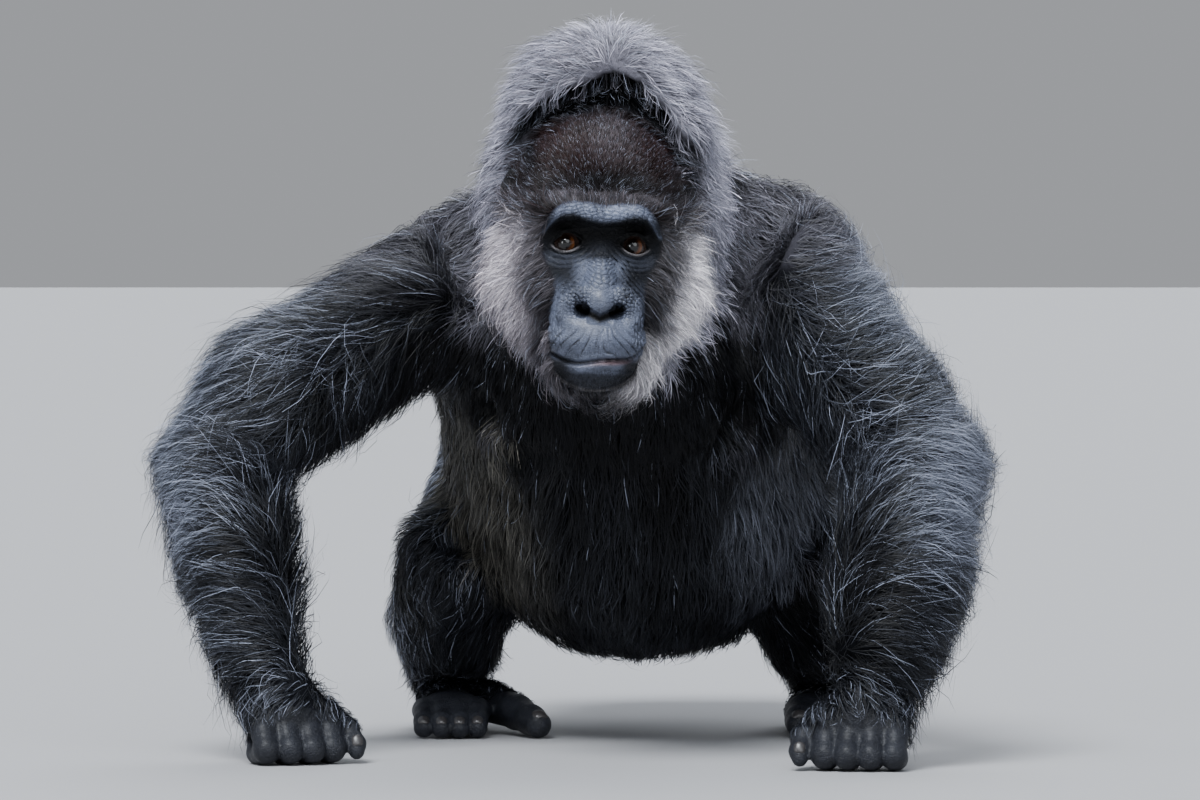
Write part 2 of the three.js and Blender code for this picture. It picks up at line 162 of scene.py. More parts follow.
face = {
    "eyeAside": 33.0,
    "eyeRadius": 12.5,
    "lid": 1.9,  # how far the lids stand over the eyeball
    "slit": 14.2,  # half the width of the eye's opening
    "upperLid": 7.8,  # rise of the opening above its corners
    "lowerLid": 7.2,
    "mouthDepth": 4.0,
    "foldDepth": 1.6,
}
mouthCurve = np.polyfit(
    [-46, -40, -30, -18, -6, 4, 16, 27, 36, 42, 46],
    [-106, -109.5, -114, -116, -114.5, -112, -111, -111, -107.5, -102, -98], 6)
mouthLine = lambda x: np.polyval(mouthCurve, np.clip(x, -48, 48))
chinRim = lambda x: -112.5 - 30.5 * np.sqrt(np.clip(1 - ((x + 1) / 43.5) ** 2, 0, 1))
browTop = lambda x: np.interp(np.abs(x), [0, 15, 30, 40, 48, 54, 58, 62], [38, 40, 40.5, 38, 32, 24, 14, 0])
browFoot = lambda x: np.interp(np.abs(x), [0, 15, 30, 42, 50, 56], [22, 24, 29, 27, 18, 8])


def eyeOpening(q, side):  # distance to the edge of the opening, seen from the front
    x = q[:, 0] - side * face["eyeAside"]
    z = q[:, 2] + side * 0.12 * x  # the inner corner sits lower
    c = face["slit"]
    up, down = face["upperLid"], face["lowerLid"]
    upR, downR = (c * c + up * up) / (2 * up), (c * c + down * down) / (2 * down)
    return np.maximum(np.hypot(x, z - up + upR) - upR, np.hypot(x, z + down - downR) - downR)


def faceForms(q):
    d = ball(q, (-2, 58, 48), (78, 76, 80))  # skull under the short forehead hair
    for s in (-1, 1):
        d = flow(d, ball(q, (s * 38, 44, 38), (38, 42, 42)), 16)
    d = flow(d, ball(q, (4, 72, -36), (96, 46, 74)), 16)  # jowls under the ruff
    d = flow(d, ball(q, (10, 44, -98), (50, 34, 48)), 16)
    for s in (-1, 1):
        arch = [(0, -24, 29, 10), (s * 14, -27, 31, 10.5), (s * 31, -27, 33, 11),
                (s * 46, -19, 29, 11.5), (s * 57, -7, 17, 10), (s * 60, 4, 2, 8)]
        d = flow(d, chain(q, arch, 6), 9)
        d = flow(d, bone(q, (s * 55, 4, 4), 11, (s * 46, 10, -38), 16), 14)
    d = flow(d, ball(q, (0, 14, -40), (53, 45, 60)), 14)
    for s in (-1, 1):
        d = carve(d, ball(q, (s * 33, -30, 4), (25, 18, 16)), 9)
        d = carve(d, ball(q, (s * 15, -26, 6), (13, 10, 11)), 7)
    m = bone(q, (0, 8, -52), 43, (0, -9, -88), 45)
    m = flow(m, bone(q, (0, -8, -4), 8, (0, -30, -46), 14), 10)
    m = flow(m, ball(q, (0, -15, -92), (48, 41, 20)), 8)
    d = flow(d, m, 12)
    d = flow(d, ball(q, (-1, -3, -115), (43.5, 40, 28.5)), 5)
    return d


def noseForms(q, d):
    d = flow(d, chain(q, [(0, -25, -12, 7), (0, -37, -40, 13), (0, -43, -54, 13)], 6), 8)
    for s in (-1, 1):
        arch = [(s * 10, -42, -49, 9), (s * 22, -39, -50, 10.5), (s * 30, -35, -58, 10), (s * 32, -34, -69, 8.5),
                (s * 27, -39, -79, 6.5), (s * 16, -44, -83, 4.5), (s * 6, -46, -81, 4)]
        d = flow(d, chain(q, arch, 6), 4)
    d = flow(d, ball(q, (0, -47.5, -57), (11, 8.5, 10)), 5)
    for s in (-1, 1):
        hole = bone(q, (s * 18, -46, -62), 6.0, (s * 4.5, -51, -70.5), 4.8)
        hole = flow(hole, bone(q, (s * 17, -44, -65), 7.4, (s * 12, -22, -60), 5), 3)
        d = carve(d, hole, 1.8)
    d = carve(d, bone(q, (-9, -53, -72.5), 4.8, (9, -53, -72.5), 4.8), 1.6)
    d = flow(d, bone(q, (0, -44, -79), 3.4, (0, -49, -87), 3.4), 4)
    return d


def lidForms(q, d):
    for s in (-1, 1):
        centre = (s * face["eyeAside"], -4, 0)
        d = flow(d, ball(q, centre, [face["eyeRadius"] + face["lid"]] * 3), 4.5)
        slit = np.maximum(eyeOpening(q, s), face["eyeRadius"] - 2.2 - np.linalg.norm(q - np.array(centre), axis=1))
        slit = np.maximum(slit, q[:, 1] + 6)
        d = carve(d, slit, 1.2)
    return d


def plates(u, v, seed):  # a skin of small plates: 0 in the creases between them, 1 on top
    cell = np.floor(np.stack([u, v], -1))
    near, second = np.full(len(u), 9.0), np.full(len(u), 9.0)
    for i in (-1, 0, 1):
        for j in (-1, 0, 1):
            c = cell + [i, j]
            jitter = np.sin(c @ np.array([[127.1, 269.5], [311.7, 183.3]]) + seed) * 43758.5453
            away = np.hypot(*((c + 0.15 + 0.7 * (jitter - np.floor(jitter))).T - [u, v]))
            second = np.minimum(second, np.maximum(near, away))
            near = np.minimum(near, away)
    return rise(second - near, 0.0, 0.42)


def pleats(t):  # rounded ridges with a sharp crease at every whole number
    return np.abs(np.sin(math.pi * t)) ** 0.6


def folds(q):  # how far the skin stands out in folds and creases
    x, z = q[:, 0], q[:, 2]
    side = np.abs(x)
    front = rise(-q[:, 1], -12, 4)
    out = np.zeros(len(q))
    drift = np.sin(0.11 * x + 0.07 * z) + np.sin(0.05 * x - 0.13 * z + 2)
    for s in (-1, 1):  # bags under the eyes and the crease over them
        off = eyeOpening(q, s)
        below = rise(-z, 0, 7) * rise(off, 1.2, 2.6) * (1 - rise(off, 16, 21))
        out += below * (1.25 * pleats((off + 0.6 * drift) / 4.9) - 0.8)
        out += rise(z, 1, 6) * (-0.9 * bump(off, 3.4, 0.8) + 0.6 * bump(off, 5.2, 1.0))
    left = rise(x, -8, 12)  # she is more wrinkled on her left
    beside = bump(side - 0.5 * (-z - 18), 22, 12) * rise(-z, 8, 16) * rise(z, -66, -50)
    slant = side * 0.72 + z * 0.69  # folds that run from the inner corners of the eyes down and out
    out += beside * (0.6 + 0.5 * left) * (1.3 * pleats(slant / 4.3 + 0.2 * drift) - 0.75)
    bridge = (1 - rise(side, 9, 20)) * rise(-z, 8, 14) * rise(z, -46, -36)
    out += bridge * (0.7 * plates(x / 7.5, (z - 0.03 * x * x) / 3.8 + 0.3 * drift, 2.1) - 0.35)
    wing = bump(np.hypot(side - 25, (z + 53) * 0.9), 0, 13) * (1 - 0.8 * bump(x, 0, 9))
    out += wing * (1.4 * plates(x / 4.0 + 0.2 * drift, z / 3.5, 3.7) - 0.7)
    lip = rise(-z, 78, 85) * rise(z, -112, -105) * rise(-q[:, 1], 2, 14)
    sway = (x - 6) * (1 - 0.2 * left) + 0.6 * (z + 92) * left * rise(x, 4, 18)
    out += lip * left * (1.4 * pleats(sway / 6.0 + 0.25 * drift) - 0.8) * (0.6 + 0.4 * np.sin(0.3 * z + 0.2 * x))
    grooves = (1 - pleats((0.95 * x - 0.3 * z) / 9 + 0.3 * drift)) ** 3
    out -= lip * (1 - left) * 1.2 * grooves * (0.7 + 0.3 * np.sin(0.25 * z))
    jowl = rise(side, 30, 38) * rise(-z, 60, 72) * rise(z, -108, -98)
    out += jowl * (0.5 + 0.5 * left) * (1.0 * plates(side / 3.2 + 0.3 * drift, z / 11, 6.1) - 0.45)
    brow = rise(z, 19, 25) * (1 - rise(z, 38, 44))
    browRow = (z + 0.004 * x * x) / 3.6 + 0.2 * np.sin(0.35 * x)
    out += brow * (0.6 * plates(x / 6.5 + 0.3 * drift, browRow, 5.2) - 0.3)
    chin = rise(-z, 116, 122)
    out += chin * (0.35 * plates(x / 2.6, z / 4.2, 7.7) - 0.15)
    return out * front * face["foldDepth"]


def headSkin(q):
    d = faceForms(q)
    near = ((q > (-72, -np.inf, -152)) & (q < (72, 24, 50))).all(axis=1)
    if near.any():
        f = q[near]
        x, y, z = f.T
        e = noseForms(f, d[near])
        e = lidForms(f, e) - folds(f)
        line = z - mouthLine(x)
        corner = 1 - rise(np.abs(x - 1), 43, 49)
        frontal = rise(-y, 8, 22)
        lips = face["mouthDepth"] * bump(line, 0, 1.6) - 2.3 * bump(line, -5.5, 4.0) - 1.0 * bump(line, 4.0, 3.0)
        e += frontal * corner * lips
        rim = z - chinRim(x)
        chin = 1.5 * bump(rim, 0, 1.3) - 1.3 * bump(rim, 4.0, 2.4) - 0.6 * bump(rim, -3.0, 1.6)
        e -= rise(-y, -4, 6) * rise(-line, 3, 7) * chin
        groove = bump(x - 1.5 - 0.1 * (z + 90), 0, 1.3)  # from the nose to the lip
        e += 0.9 * frontal * groove * rise(-z, 82, 86) * rise(z, -101, -94)
        d[near] = e
    return d


def earForm(q, side):
    centre = np.array([side * 89, 57, 50])
    turn = -side * 0.42
    c, s = math.cos(turn), math.sin(turn)
    r = (q - centre) @ np.array([[c, -s, 0], [s, c, 0], [0, 0, 1]])
    d = ball(r, (-side * 5, 0, 0), (8, 14, 21))
    d = carve(d, ball(r, (side * 2, -3, 1), (6, 9, 15)), 3)
    d = flow(d, bone(r, (-side * 3, -9, -8), 4, (-side * 2, -11, 4), 3.4), 3)
    return flow(d, bone(r, (side * -4, 4, 0), 9, (side * -16, 2, -4), 12), 6)


# Hands: four fingers folded under, so that she stands on their middle joints

hands = {
    "right": {"wrist": (-20.8, 13.9), "knuckles": (-4.8, -15.1), "heading": (0.35, -0.94), "inward": 1},
    "left": {"wrist": (12.7, 8.4), "knuckles": (3.7, -13.6), "heading": (-0.12, -0.99), "inward": -1},
    "pitch": 22.5,  # from one finger to the next
}


def handPlaces(side):
    h = hands[side]
    low, high = boxOf("hand_" + side)
    foot = np.array([(low[0] + high[0]) / 2, (low[1] + high[1]) / 2, 0])
    hx, hy = h["heading"]
    across = np.array([-hy, hx]) * h["inward"]
    knuckles = foot[:2] + h["knuckles"]

    def at(ahead, aside, z):
        x, y = knuckles + np.array([hx, hy]) * ahead + across * aside
        return (x, y, z)

    return foot, at


def handSkin(p, side):
    foot, at = handPlaces(side)
    wrist = (*(foot[:2] + hands[side]["wrist"]), 78)
    d = bone(p, wrist, 30, at(-2, 0, 46), 27)
    for place in (-1.5, -0.5, 0.5, 1.5):
        aside = place * hands["pitch"]
        short = 5 if abs(place) > 1 else 0
        palm = bone(p, (wrist[0], wrist[1], 70), 24, at(0, aside * 0.9, 45), 17)
        finger = chain(p, [
            (*at(-1, aside * 0.95, 46), 15.5),
            (*at(17 - short * 0.5, aside, 32), 11.8),
            (*at(30 - short, aside, 15.5), 12.6),
            (*at(16 - short, aside, 11.2), 10.4),
            (*at(2 - short, aside, 11.0), 10.6),
            (*at(-10 - short, aside * 0.94, 22), 9.2),
        ], 5)
        d = flow(flow(d, palm, 14), finger, 2.6)
    thumb = [(*at(-16, 42, 48), 14), (*at(6, 56, 33), 10.5), (*at(22, 59, 19), 9.4), (*at(28, 58, 12), 7.6)]
    return np.maximum(flow(d, chain(p, thumb, 5), 6), -p[:, 2])


# Feet: flat, with four toes ahead and the great toe standing off like a thumb

feet = {
    "right": {"ankle": (-30.8, 56.1), "heel": (-28.8, 96.1), "sole": (-22.8, -69.9),
              "hallux": [(13.2, -3.9, 32, 22), (45.2, -63.9, 24, 17.5), (60, -96, 18, 15), (67.2, -113.9, 14.5, 14)]},
    "left": {"ankle": (-10.0, 56.3), "heel": (-4.0, 96.3), "sole": (14.0, -69.7),
             "hallux": [(-18, -3.7, 30, 22), (-32, -63.7, 23, 17.5), (-35, -96, 18, 15), (-36, -112.7, 14.5, 14)]},
    "pitch": 18.5,
}


def footPlaces(side):
    low, high = boxOf("foot_" + side)
    return np.array([(low[0] + high[0]) / 2, (low[1] + high[1]) / 2, 0])


def footSkin(p, side):
    f = feet[side]
    foot = footPlaces(side)
    put = lambda xy, z: (foot[0] + xy[0], foot[1] + xy[1], z)
    sole = f["sole"]
    d = bone(p, put(f["ankle"], 60), 31, put(f["heel"], 30), 26)
    d = flow(d, bone(p, put(f["ankle"], 60), 30, put((sole[0], sole[1] + 42), 28), 24), 12)
    d = flow(d, bone(p, put(f["heel"], 28), 28, put((sole[0], sole[1] + 6), 24), 37, 0.6), 12)
    d = flow(d, chain(p, [(*put(j[:2], j[2]), j[3]) for j in f["hallux"]], 6), 10)
    for place in (-1.5, -0.5, 0.5, 1.5):
        x = sole[0] + place * feet["pitch"]
        reach = 58 - 6 * abs(place)
        toe = chain(p, [
            (*put((x, sole[1] + 2), 26), 13.5),
            (*put((x, sole[1] - reach + 32), 25), 10.4),
            (*put((x, sole[1] - reach + 12), 17.5), 10.2),
            (*put((x, sole[1] - reach + 2), 11.5), 10.4),
        ], 4)
        d = flow(d, toe, 3)
    return np.maximum(d, -p[:, 2])


# The body under the coat, from the solids

skinPlan = {
    "step": 5.0,  # of the grid that the body's distances are kept on
    "meshStep": 6.6,  # of the grid that the first mesh is drawn on
    "closing": 9.0,  # the cuts and creases between solids are filled to this radius
    "softening": 2,  # passes that round the solids' facets
    "coatDepth": {  # how deep the skin lies under the coat's tips
        "chest": 12, "belly": 15, "hips": 18, "neck": 18, "head": 22, "muzzle": 0, "jaw": 0,
        "upper_arm": 19, "forearm": 21, "hand": 3, "thigh": 16, "shin": 14, "foot": 2, "ear": 2,
    },
}
sides = ("right", "left")
paired = lambda *names: [name + "_" + side for name in names for side in sides]
trunkNodes = ["chest", "belly", "hips", "neck"] + paired("upper_arm", "forearm", "thigh", "shin")
faceNodes = ["head", "muzzle", "jaw"]
fineNodes = faceNodes + paired("hand", "foot", "ear")
fleshNodes = trunkNodes + fineNodes


def trianglesOf(mesh):  # its points in millimetres, and three corners for each triangle
    mesh.calc_loop_triangles()
    points = valuesOf(mesh.vertices, "co", 3).astype(float) * 1000
    return points, valuesOf(mesh.loop_triangles, "vertices", 3, np.int32)


def nodeTriangles(node):
    return trianglesOf(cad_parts[node].data)


step = skinPlan["step"]
gridLow = np.array(cadBox[0]) * 1000 - 4 * step
gridShape = tuple(np.ceil((np.array(cadBox[1]) * 1000 - gridLow + 4 * step) / step).astype(int) + 1)


def reader(values, low, size):  # reads a block of numbers, or of vectors, between its points
    top = np.array(values.shape[:3]) - 1.001

    def at(p):
        g = np.clip((p - low) / size, 0, top)
        i = g.astype(int)
        f = g - i
        out = 0
        for corner in np.ndindex(2, 2, 2):
            w = np.prod([f[:, a] if c else 1 - f[:, a] for a, c in enumerate(corner)], axis=0)
            v = values[i[:, 0] + corner[0], i[:, 1] + corner[1], i[:, 2] + corner[2]]
            out = out + (w[:, None] * v if values.ndim == 4 else w * v)
        return out

    return at


def blurred(values, passes):
    for _ in range(passes):
        for axis in range(3):
            v = np.moveaxis(values, axis, 0)
            v[1:-1] = (v[:-2] + 2 * v[1:-1] + v[2:]) / 4
    return values


def levelSet(points, halfWidth, **faces):
    return openvdb.FloatGrid.createLevelSetFromPolygons(
        points.astype(np.float32), transform=openvdb.createLinearTransform(step), halfWidth=halfWidth,
        **{kind: corners.astype(np.uint32) for kind, corners in faces.items()})


def outerShell(points, quads):  # the faces joined to the highest one
    owner = np.arange(len(points))
    while True:
        low = owner[quads].min(axis=1)
        new = owner.copy()
        for c in range(4):
            np.minimum.at(new, quads[:, c], low)
        new = new[new]
        if (new == owner).all():
            break
        owner = new
    return quads[owner[quads[:, 0]] == owner[np.argmax(points[:, 2])]]


def bodyField():
    points, triangles, count = [], [], 0
    for node in trunkNodes:
        p, t = nodeTriangles(node)
        points.append(p)
        triangles.append(t + count)
        count += len(p)
    closing = skinPlan["closing"]
    grid = levelSet(np.concatenate(points) - gridLow, closing / step + 2, triangles=np.concatenate(triangles))
    corners, quads = grid.convertToQuads(isovalue=closing)
    outer = np.zeros(gridShape, np.float32)
    levelSet(corners, 14.0, quads=outerShell(corners, quads.astype(int))).copyToArray(outer)
    return blurred(outer + closing, skinPlan["softening"])


# Sample points over the solids tell which body part any place belongs to.
labelNames = list(fleshNodes)
labelPoints, labelOf = [], []
for index, node in enumerate(labelNames):
    p, t = nodeTriangles(node)
    a, b, c = p[t[:, 0]], p[t[:, 1]], p[t[:, 2]]
    area = np.linalg.norm(np.cross(b - a, c - a), axis=1) / 2
    pick = rng.choice(len(t), max(60, int(area.sum() / 90)), p=area / area.sum())
    u, v = rng.random((2, len(pick), 1))
    u, v = np.where(u + v > 1, 1 - u, u), np.where(u + v > 1, 1 - v, v)
    labelPoints.append(a[pick] + u * (b - a)[pick] + v * (c - a)[pick])
    labelOf += [index] * len(pick)
labelPoints, labelOf = np.concatenate(labelPoints), np.array(labelOf)
labelTree = kdtree.KDTree(len(labelPoints))
for i, p in enumerate(labelPoints):
    labelTree.insert(p, i)
labelTree.balance()


def labelsAt(p):
    return labelOf[[labelTree.find(x)[1] for x in p]]


print("body parts:", len(labelNames), "label points:", len(labelPoints))

outerBody = bodyField()
outerAt = reader(outerBody, gridLow, step)
coarse = 4  # the part and depth fields use every fourth grid point
coarseLow, coarseStep = gridLow, step * coarse
coarseShape = tuple((np.array(gridShape) - 1) // coarse + 2)
counted = lambda shape: np.stack(np.meshgrid(*[np.arange(n) for n in shape], indexing="ij"), -1)
coarsePoints = coarseLow + counted(coarseShape).reshape(-1, 3) * coarseStep


def spread(values, known):  # fills the unknown cells of a coarse block from their neighbours, and softens it
    v = (values * known[..., None]).astype(np.float32)
    w = known.astype(np.float32)
    for _ in range(6):
        v, w = blurred(v, 1), blurred(w, 1)
        v = np.where(known[..., None], 0.5 * v + 0.5 * values * known[..., None], v)
        w = np.where(known, 0.5 * w + 0.5, w)
    return v / np.maximum(w[..., None], 1e-6)


nearBody = np.abs(outerAt(coarsePoints)) < 48  # how far from the body the fields are worked out, not spread
coarseLabels = np.full(len(coarsePoints), -1)
coarseLabels[nearBody] = labelsAt(coarsePoints[nearBody])
known = nearBody.reshape(coarseShape)
silverPlan = {  # the share of silver hairs, partly real and partly painted sheen
    "chest": 0.14, "belly": 0.14, "hips": 0.15, "neck": 0.3, "thigh": 0.2, "shin": 0.2, "foot": 0.1, "hand": 0.3,
    "upper_arm_right": 0.26, "forearm_right": 0.42, "upper_arm_left": 0.55, "forearm_left": 0.6,
}


def fieldOf(plan, usual):  # a plan's value for each part, spread softly from part to part
    byName = [plan.get(n, plan.get(n.rsplit("_", 1)[0], usual)) for n in labelNames]
    block = spread(np.array(byName, float)[coarseLabels].reshape(*coarseShape, 1), known)
    return reader(block[..., 0], coarseLow, coarseStep)


depthAt = fieldOf(skinPlan["coatDepth"], 0)
silverAt = fieldOf(silverPlan, 0.2)

gridPoints = gridLow + (counted(gridShape) * step).astype(np.float32)
underCoat = outerBody + depthAt(gridPoints.reshape(-1, 3)).reshape(gridShape).astype(np.float32)
underCoatAt = reader(underCoat, gridLow, step)

# Where each fine part is worked out: its box, its form, and how softly it joins the body.
headLow, headHigh = boxOf("head")
muzzleLow = boxOf("muzzle")[0]
fineParts = [
    (np.minimum(headLow, muzzleLow) - 30, headHigh + [30, 90, 20], lambda p: headSkin(inHead(p)), 22),
]
for side, sign in (("right", -1), ("left", 1)):
    low, high = boxOf("ear_" + side)
    fineParts.append((low - 26, high + 26, lambda p, s=sign: earForm(inHead(p), s), 5))
    low, high = boxOf("hand_" + side)
    fineParts.append((low - 16, high + [16, 16, 40], lambda p, s=side: handSkin(p, s), 16))
    low, high = boxOf("foot_" + side)
    fineParts.append((low - 16, high + [16, 16, 40], lambda p, s=side: footSkin(p, s), 16))


def skinDistance(p):
    d = underCoatAt(p).astype(float)
    for low, high, form, blend in fineParts:
        inside = ((p > low) & (p < high)).all(axis=1)
        if inside.any():
            d[inside] = flow(d[inside], form(p[inside]), blend)
    return np.maximum(gapCut(p, d), -p[:, 2])


skinBlock = underCoat.copy()
for low, high, form, blend in fineParts:
    a = np.maximum(((low - gridLow) / step).astype(int) + 1, 0)
    b = np.minimum(((high - gridLow) / step).astype(int), gridShape)
    block = tuple(slice(i, j) for i, j in zip(a, b))
    p = gridPoints[block].reshape(-1, 3).astype(float)
    joined = flow(skinBlock[block].reshape(-1), form(p), blend)
    skinBlock[block] = joined.reshape(skinBlock[block].shape)
skinBlock = np.maximum(skinBlock, -gridPoints[..., 2])
heightAt = reader(skinBlock, gridLow, step)

# The hood stands out over the forehead along a pointed arch, with a gap beneath, carved and painted black as the shadow
# under the hood's edge. In the head's frame:
# across, the height of the hood's edge, and how wide the gap is there.
archPlan = np.array([
    (-90, 92, 12), (-84, 102, 14), (-59, 137, 19), (-26, 152, 27), (7, 169, 33),
    (33, 159, 28), (61, 132, 20), (82, 92, 15), (97, 62, 13), (101, 36, 9)], float)


def archAt(q):  # where points lie between the gap's lower side, 0, and the hood's edge, 1, and the gap's width
    top = np.interp(q[:, 0], archPlan[:, 0], archPlan[:, 1])
    wide = np.interp(q[:, 0], archPlan[:, 0], archPlan[:, 2])
    return (q[:, 2] - top + wide) / wide, wide


def archSpots():  # the gap's middle line on the skin, seen from the front
    reach = np.arange(-90, 150, 1.0)
    spots = []
    for x, z, wide in archPlan[:-2]:
        ray = np.stack([np.full(len(reach), x * 0.97), reach, np.full(len(reach), z - wide * 0.42)], -1)
        found = np.argmax(heightAt(fromHead(ray)) < 0)
        spots.append((*ray[found], wide * 0.34))
    return spots


gapChain = archSpots()
gapBox = np.min([s[:3] for s in gapChain], axis=0) - 40, np.max([s[:3] for s in gapChain], axis=0) + 40


def gapCut(p, d):
    q = inHead(p)
    near = ((q > gapBox[0]) & (q < gapBox[1])).all(axis=1)
    if near.any():
        d[near] = carve(d[near], chain(q[near], gapChain, 3), 9)
    return d


flatBlock = skinBlock.reshape(-1)
flatBlock[:] = gapCut(gridPoints.reshape(-1, 3).astype(float), flatBlock.astype(float))
heightAt = reader(skinBlock, gridLow, step)
print("skin grid:", gridShape)


def slopeOf(distance, p, h=0.6):  # the way out of the skin
    k = np.array([[1, -1, -1], [-1, -1, 1], [-1, 1, -1], [1, 1, 1]]) * h
    return unit(sum(v * distance(p + v)[:, None] for v in k))


def drawSkin():
    size = skinPlan["meshStep"]
    shape = tuple((np.array(gridShape) * step / size).astype(int))
    p = gridLow + counted(shape).reshape(-1, 3) * size
    grid = openvdb.FloatGrid()
    grid.copyFromArray(heightAt(p).reshape(shape).astype(np.float32))
    points, quads = grid.convertToQuads(isovalue=0.0)
    quads = outerShell(points, quads.astype(int))
    used, back = np.unique(quads, return_inverse=True)
    points, quads = points[used] * size + gridLow, back.reshape(-1, 4)
    a, b, c = points[quads[:, 0]], points[quads[:, 1]], points[quads[:, 2]]
    if (np.cross(b - a, c - a) * a).sum() < 0:
        quads = quads[:, ::-1]
    mesh = bpy.data.meshes.new("skin")
    mesh.from_pydata(points.tolist(), [], quads.tolist())
    bm = bmesh.new()
    bm.from_mesh(mesh)

    def settle(chosen, passes, limit):
        bm.verts.index_update()
        co = np.array([v.co for v in bm.verts])
        edges = np.array([(e.verts[0].index, e.verts[1].index) for e in bm.edges])
        moving = chosen(co)
        for _ in range(passes):
            total, count = np.zeros_like(co), np.zeros(len(co))
            for i, j in ((0, 1), (1, 0)):
                np.add.at(total, edges[:, i], co[edges[:, j]])
                np.add.at(count, edges[:, i], 1)
            mean = total / np.maximum(count, 1)[:, None]
            p = co[moving]
            n = slopeOf(skinDistance, p)
            slide = (mean[moving] - p) * 0.4
            p = p + slide - (slide * n).sum(1, keepdims=True) * n
            p -= np.clip(skinDistance(p), -limit, limit)[:, None] * n
            co[moving] = p
        for v, p in zip(bm.verts, co):
            v.co = p

    def within(q):
        return (np.abs(q[:, 0]) < 70) & (q[:, 1] < 26) & (q[:, 2] > -152) & (q[:, 2] < 48)

    def roundEyes(q):
        return np.minimum(*[np.linalg.norm((q - [s * 33, -14, -1]) / [16.5, 19, 10.5], axis=1) for s in (-1, 1)]) < 1

    def atEdges(q):  # the nostrils and the mouth
        nose = (np.abs(q[:, 0]) < 26) & (np.abs(q[:, 2] + 66) < 10)
        line = np.abs(q[:, 2] - mouthLine(q[:, 0])) < 2
        return (nose | line) & (q[:, 1] < -6) & (np.abs(q[:, 0]) < 46)

    def aboutNose(q):
        muzzle = (np.abs(q[:, 0]) < 46) & (q[:, 2] > -124) & (q[:, 2] < -8)
        brow = (q[:, 2] > 22) & (q[:, 2] < 43) & (np.abs(q[:, 0]) < 56)
        return (muzzle | brow) & (q[:, 1] < 6)

    extremities = [(low + 6, high - 6) for low, high, _, _ in fineParts[1:]]

    def inParts(p, top):
        inside = np.any([((p > low) & (p < high)).all(axis=1) for low, high in extremities], axis=0)
        return inside & ((p[:, 2] < top) | (p[:, 2] > 300)) & (p[:, 2] > 1.5)

    stages = [
        (lambda p: within(inHead(p)) | inParts(p, 92), 5, 3),
        (lambda p: within(inHead(p)) | inParts(p, 27), 4, 1.6),
        (lambda p: roundEyes(inHead(p)) | aboutNose(inHead(p)), 4, 0.8),
        (lambda p: roundEyes(inHead(p)) | atEdges(inHead(p)), 4, 0.4),
    ]
    for chosen, passes, limit in stages:
        bm.faces.index_update()
        centres = np.array([f.calc_center_median() for f in bm.faces])
        picked = chosen(centres)
        bm.faces.ensure_lookup_table()
        edges = {e for i in np.flatnonzero(picked) for e in bm.faces[i].edges}
        bmesh.ops.subdivide_edges(bm, edges=list(edges), cuts=1, use_grid_fill=True)
        settle(chosen, passes, limit)
        print("skin faces:", len(bm.faces))
    bmesh.ops.triangulate(bm, faces=[f for f in bm.faces if len(f.verts) > 4])
    for v in bm.verts:
        v.co = v.co * 0.001
    bm.to_mesh(mesh)
    bm.free()
    return mesh


skinMesh = drawSkin()
skin = addObject("skin", skinMesh)
skinMesh.polygons.foreach_set("use_smooth", np.ones(len(skinMesh.polygons), bool))
skinPoints, skinTriangles = trianglesOf(skinMesh)
slopeBlock = np.stack(np.gradient(skinBlock, step), -1).astype(np.float32)
slopeAt = reader(slopeBlock, gridLow, step)
skinNormals = unit(slopeAt(skinPoints))
skinLabels = labelsAt(skinPoints)
print("skin points:", len(skinPoints), "triangles:", len(skinTriangles))


def isPart(labels, *names):  # which labels belong to these nodes, either side
    wanted = [i for i, n in enumerate(labelNames) if n in names or n.rsplit("_", 1)[0] in names]
    return np.isin(labels, wanted)


# Where the skin is bare


def bareAt(p, labels):
    q = inHead(p)
    x, y, z = q.T
    half = np.interp(  # half the bare face's width, from the chin to the brow
        z, [-149, -138, -124, -108, -85, -74, -60, -46, -34, -20, -8, 14, 32, 40],
        [14, 30, 42, 47, 50, 50, 47, 44, 46, 53, 58, 61, 60, 54])
    edge = half - np.abs(x - 1)
    top = browTop(x) - z
    bottom = z - chinRim(x) + 3
    inside = np.minimum(np.minimum(edge, top), bottom)
    onFace = rise(inside, -3, 4) * (y < 30 - 0.1 * z)
    bare = np.where(isPart(labels, *faceNodes), onFace, 0.0)
    bare = np.where(isPart(labels, "ear"), 0.9, bare)
    for side in sides:
        at = handPlaces(side)[1]
        hx, hy = hands[side]["heading"]
        ahead = (p[:, :2] - np.array(at(0, 0, 0))[:2]) @ np.array([hx, hy])
        hand = labels == labelNames.index("hand_" + side)
        fingers = np.maximum(rise(ahead - (p[:, 2] - 44) * 0.6, 8, 20), 1 - rise(p[:, 2], 22, 34))
        bare = np.where(hand, fingers, bare)
        low, high = boxOf("foot_" + side)
        onFoot = labels == labelNames.index("foot_" + side)
        toes = np.maximum(1 - rise(p[:, 1], low[1] + 70, low[1] + 95), 1 - rise(p[:, 2], 14, 26))
        bare = np.where(onFoot, toes, bare)
    return bare


# The lie of the coat: each part's way, blended softly into its neighbours'


def across(p, start, end):  # where points lie across a limb, -1 to 1 towards her left
    start, end = np.array(start), np.array(end)
    t = np.clip(((p - start) @ (end - start)) / ((end - start) @ (end - start)), 0, 1)
    return np.clip((p[:, 0] - (start[0] + t * (end - start)[0])) / 55, -1, 1)


trunkX = middleOf("chest")[0] - 12


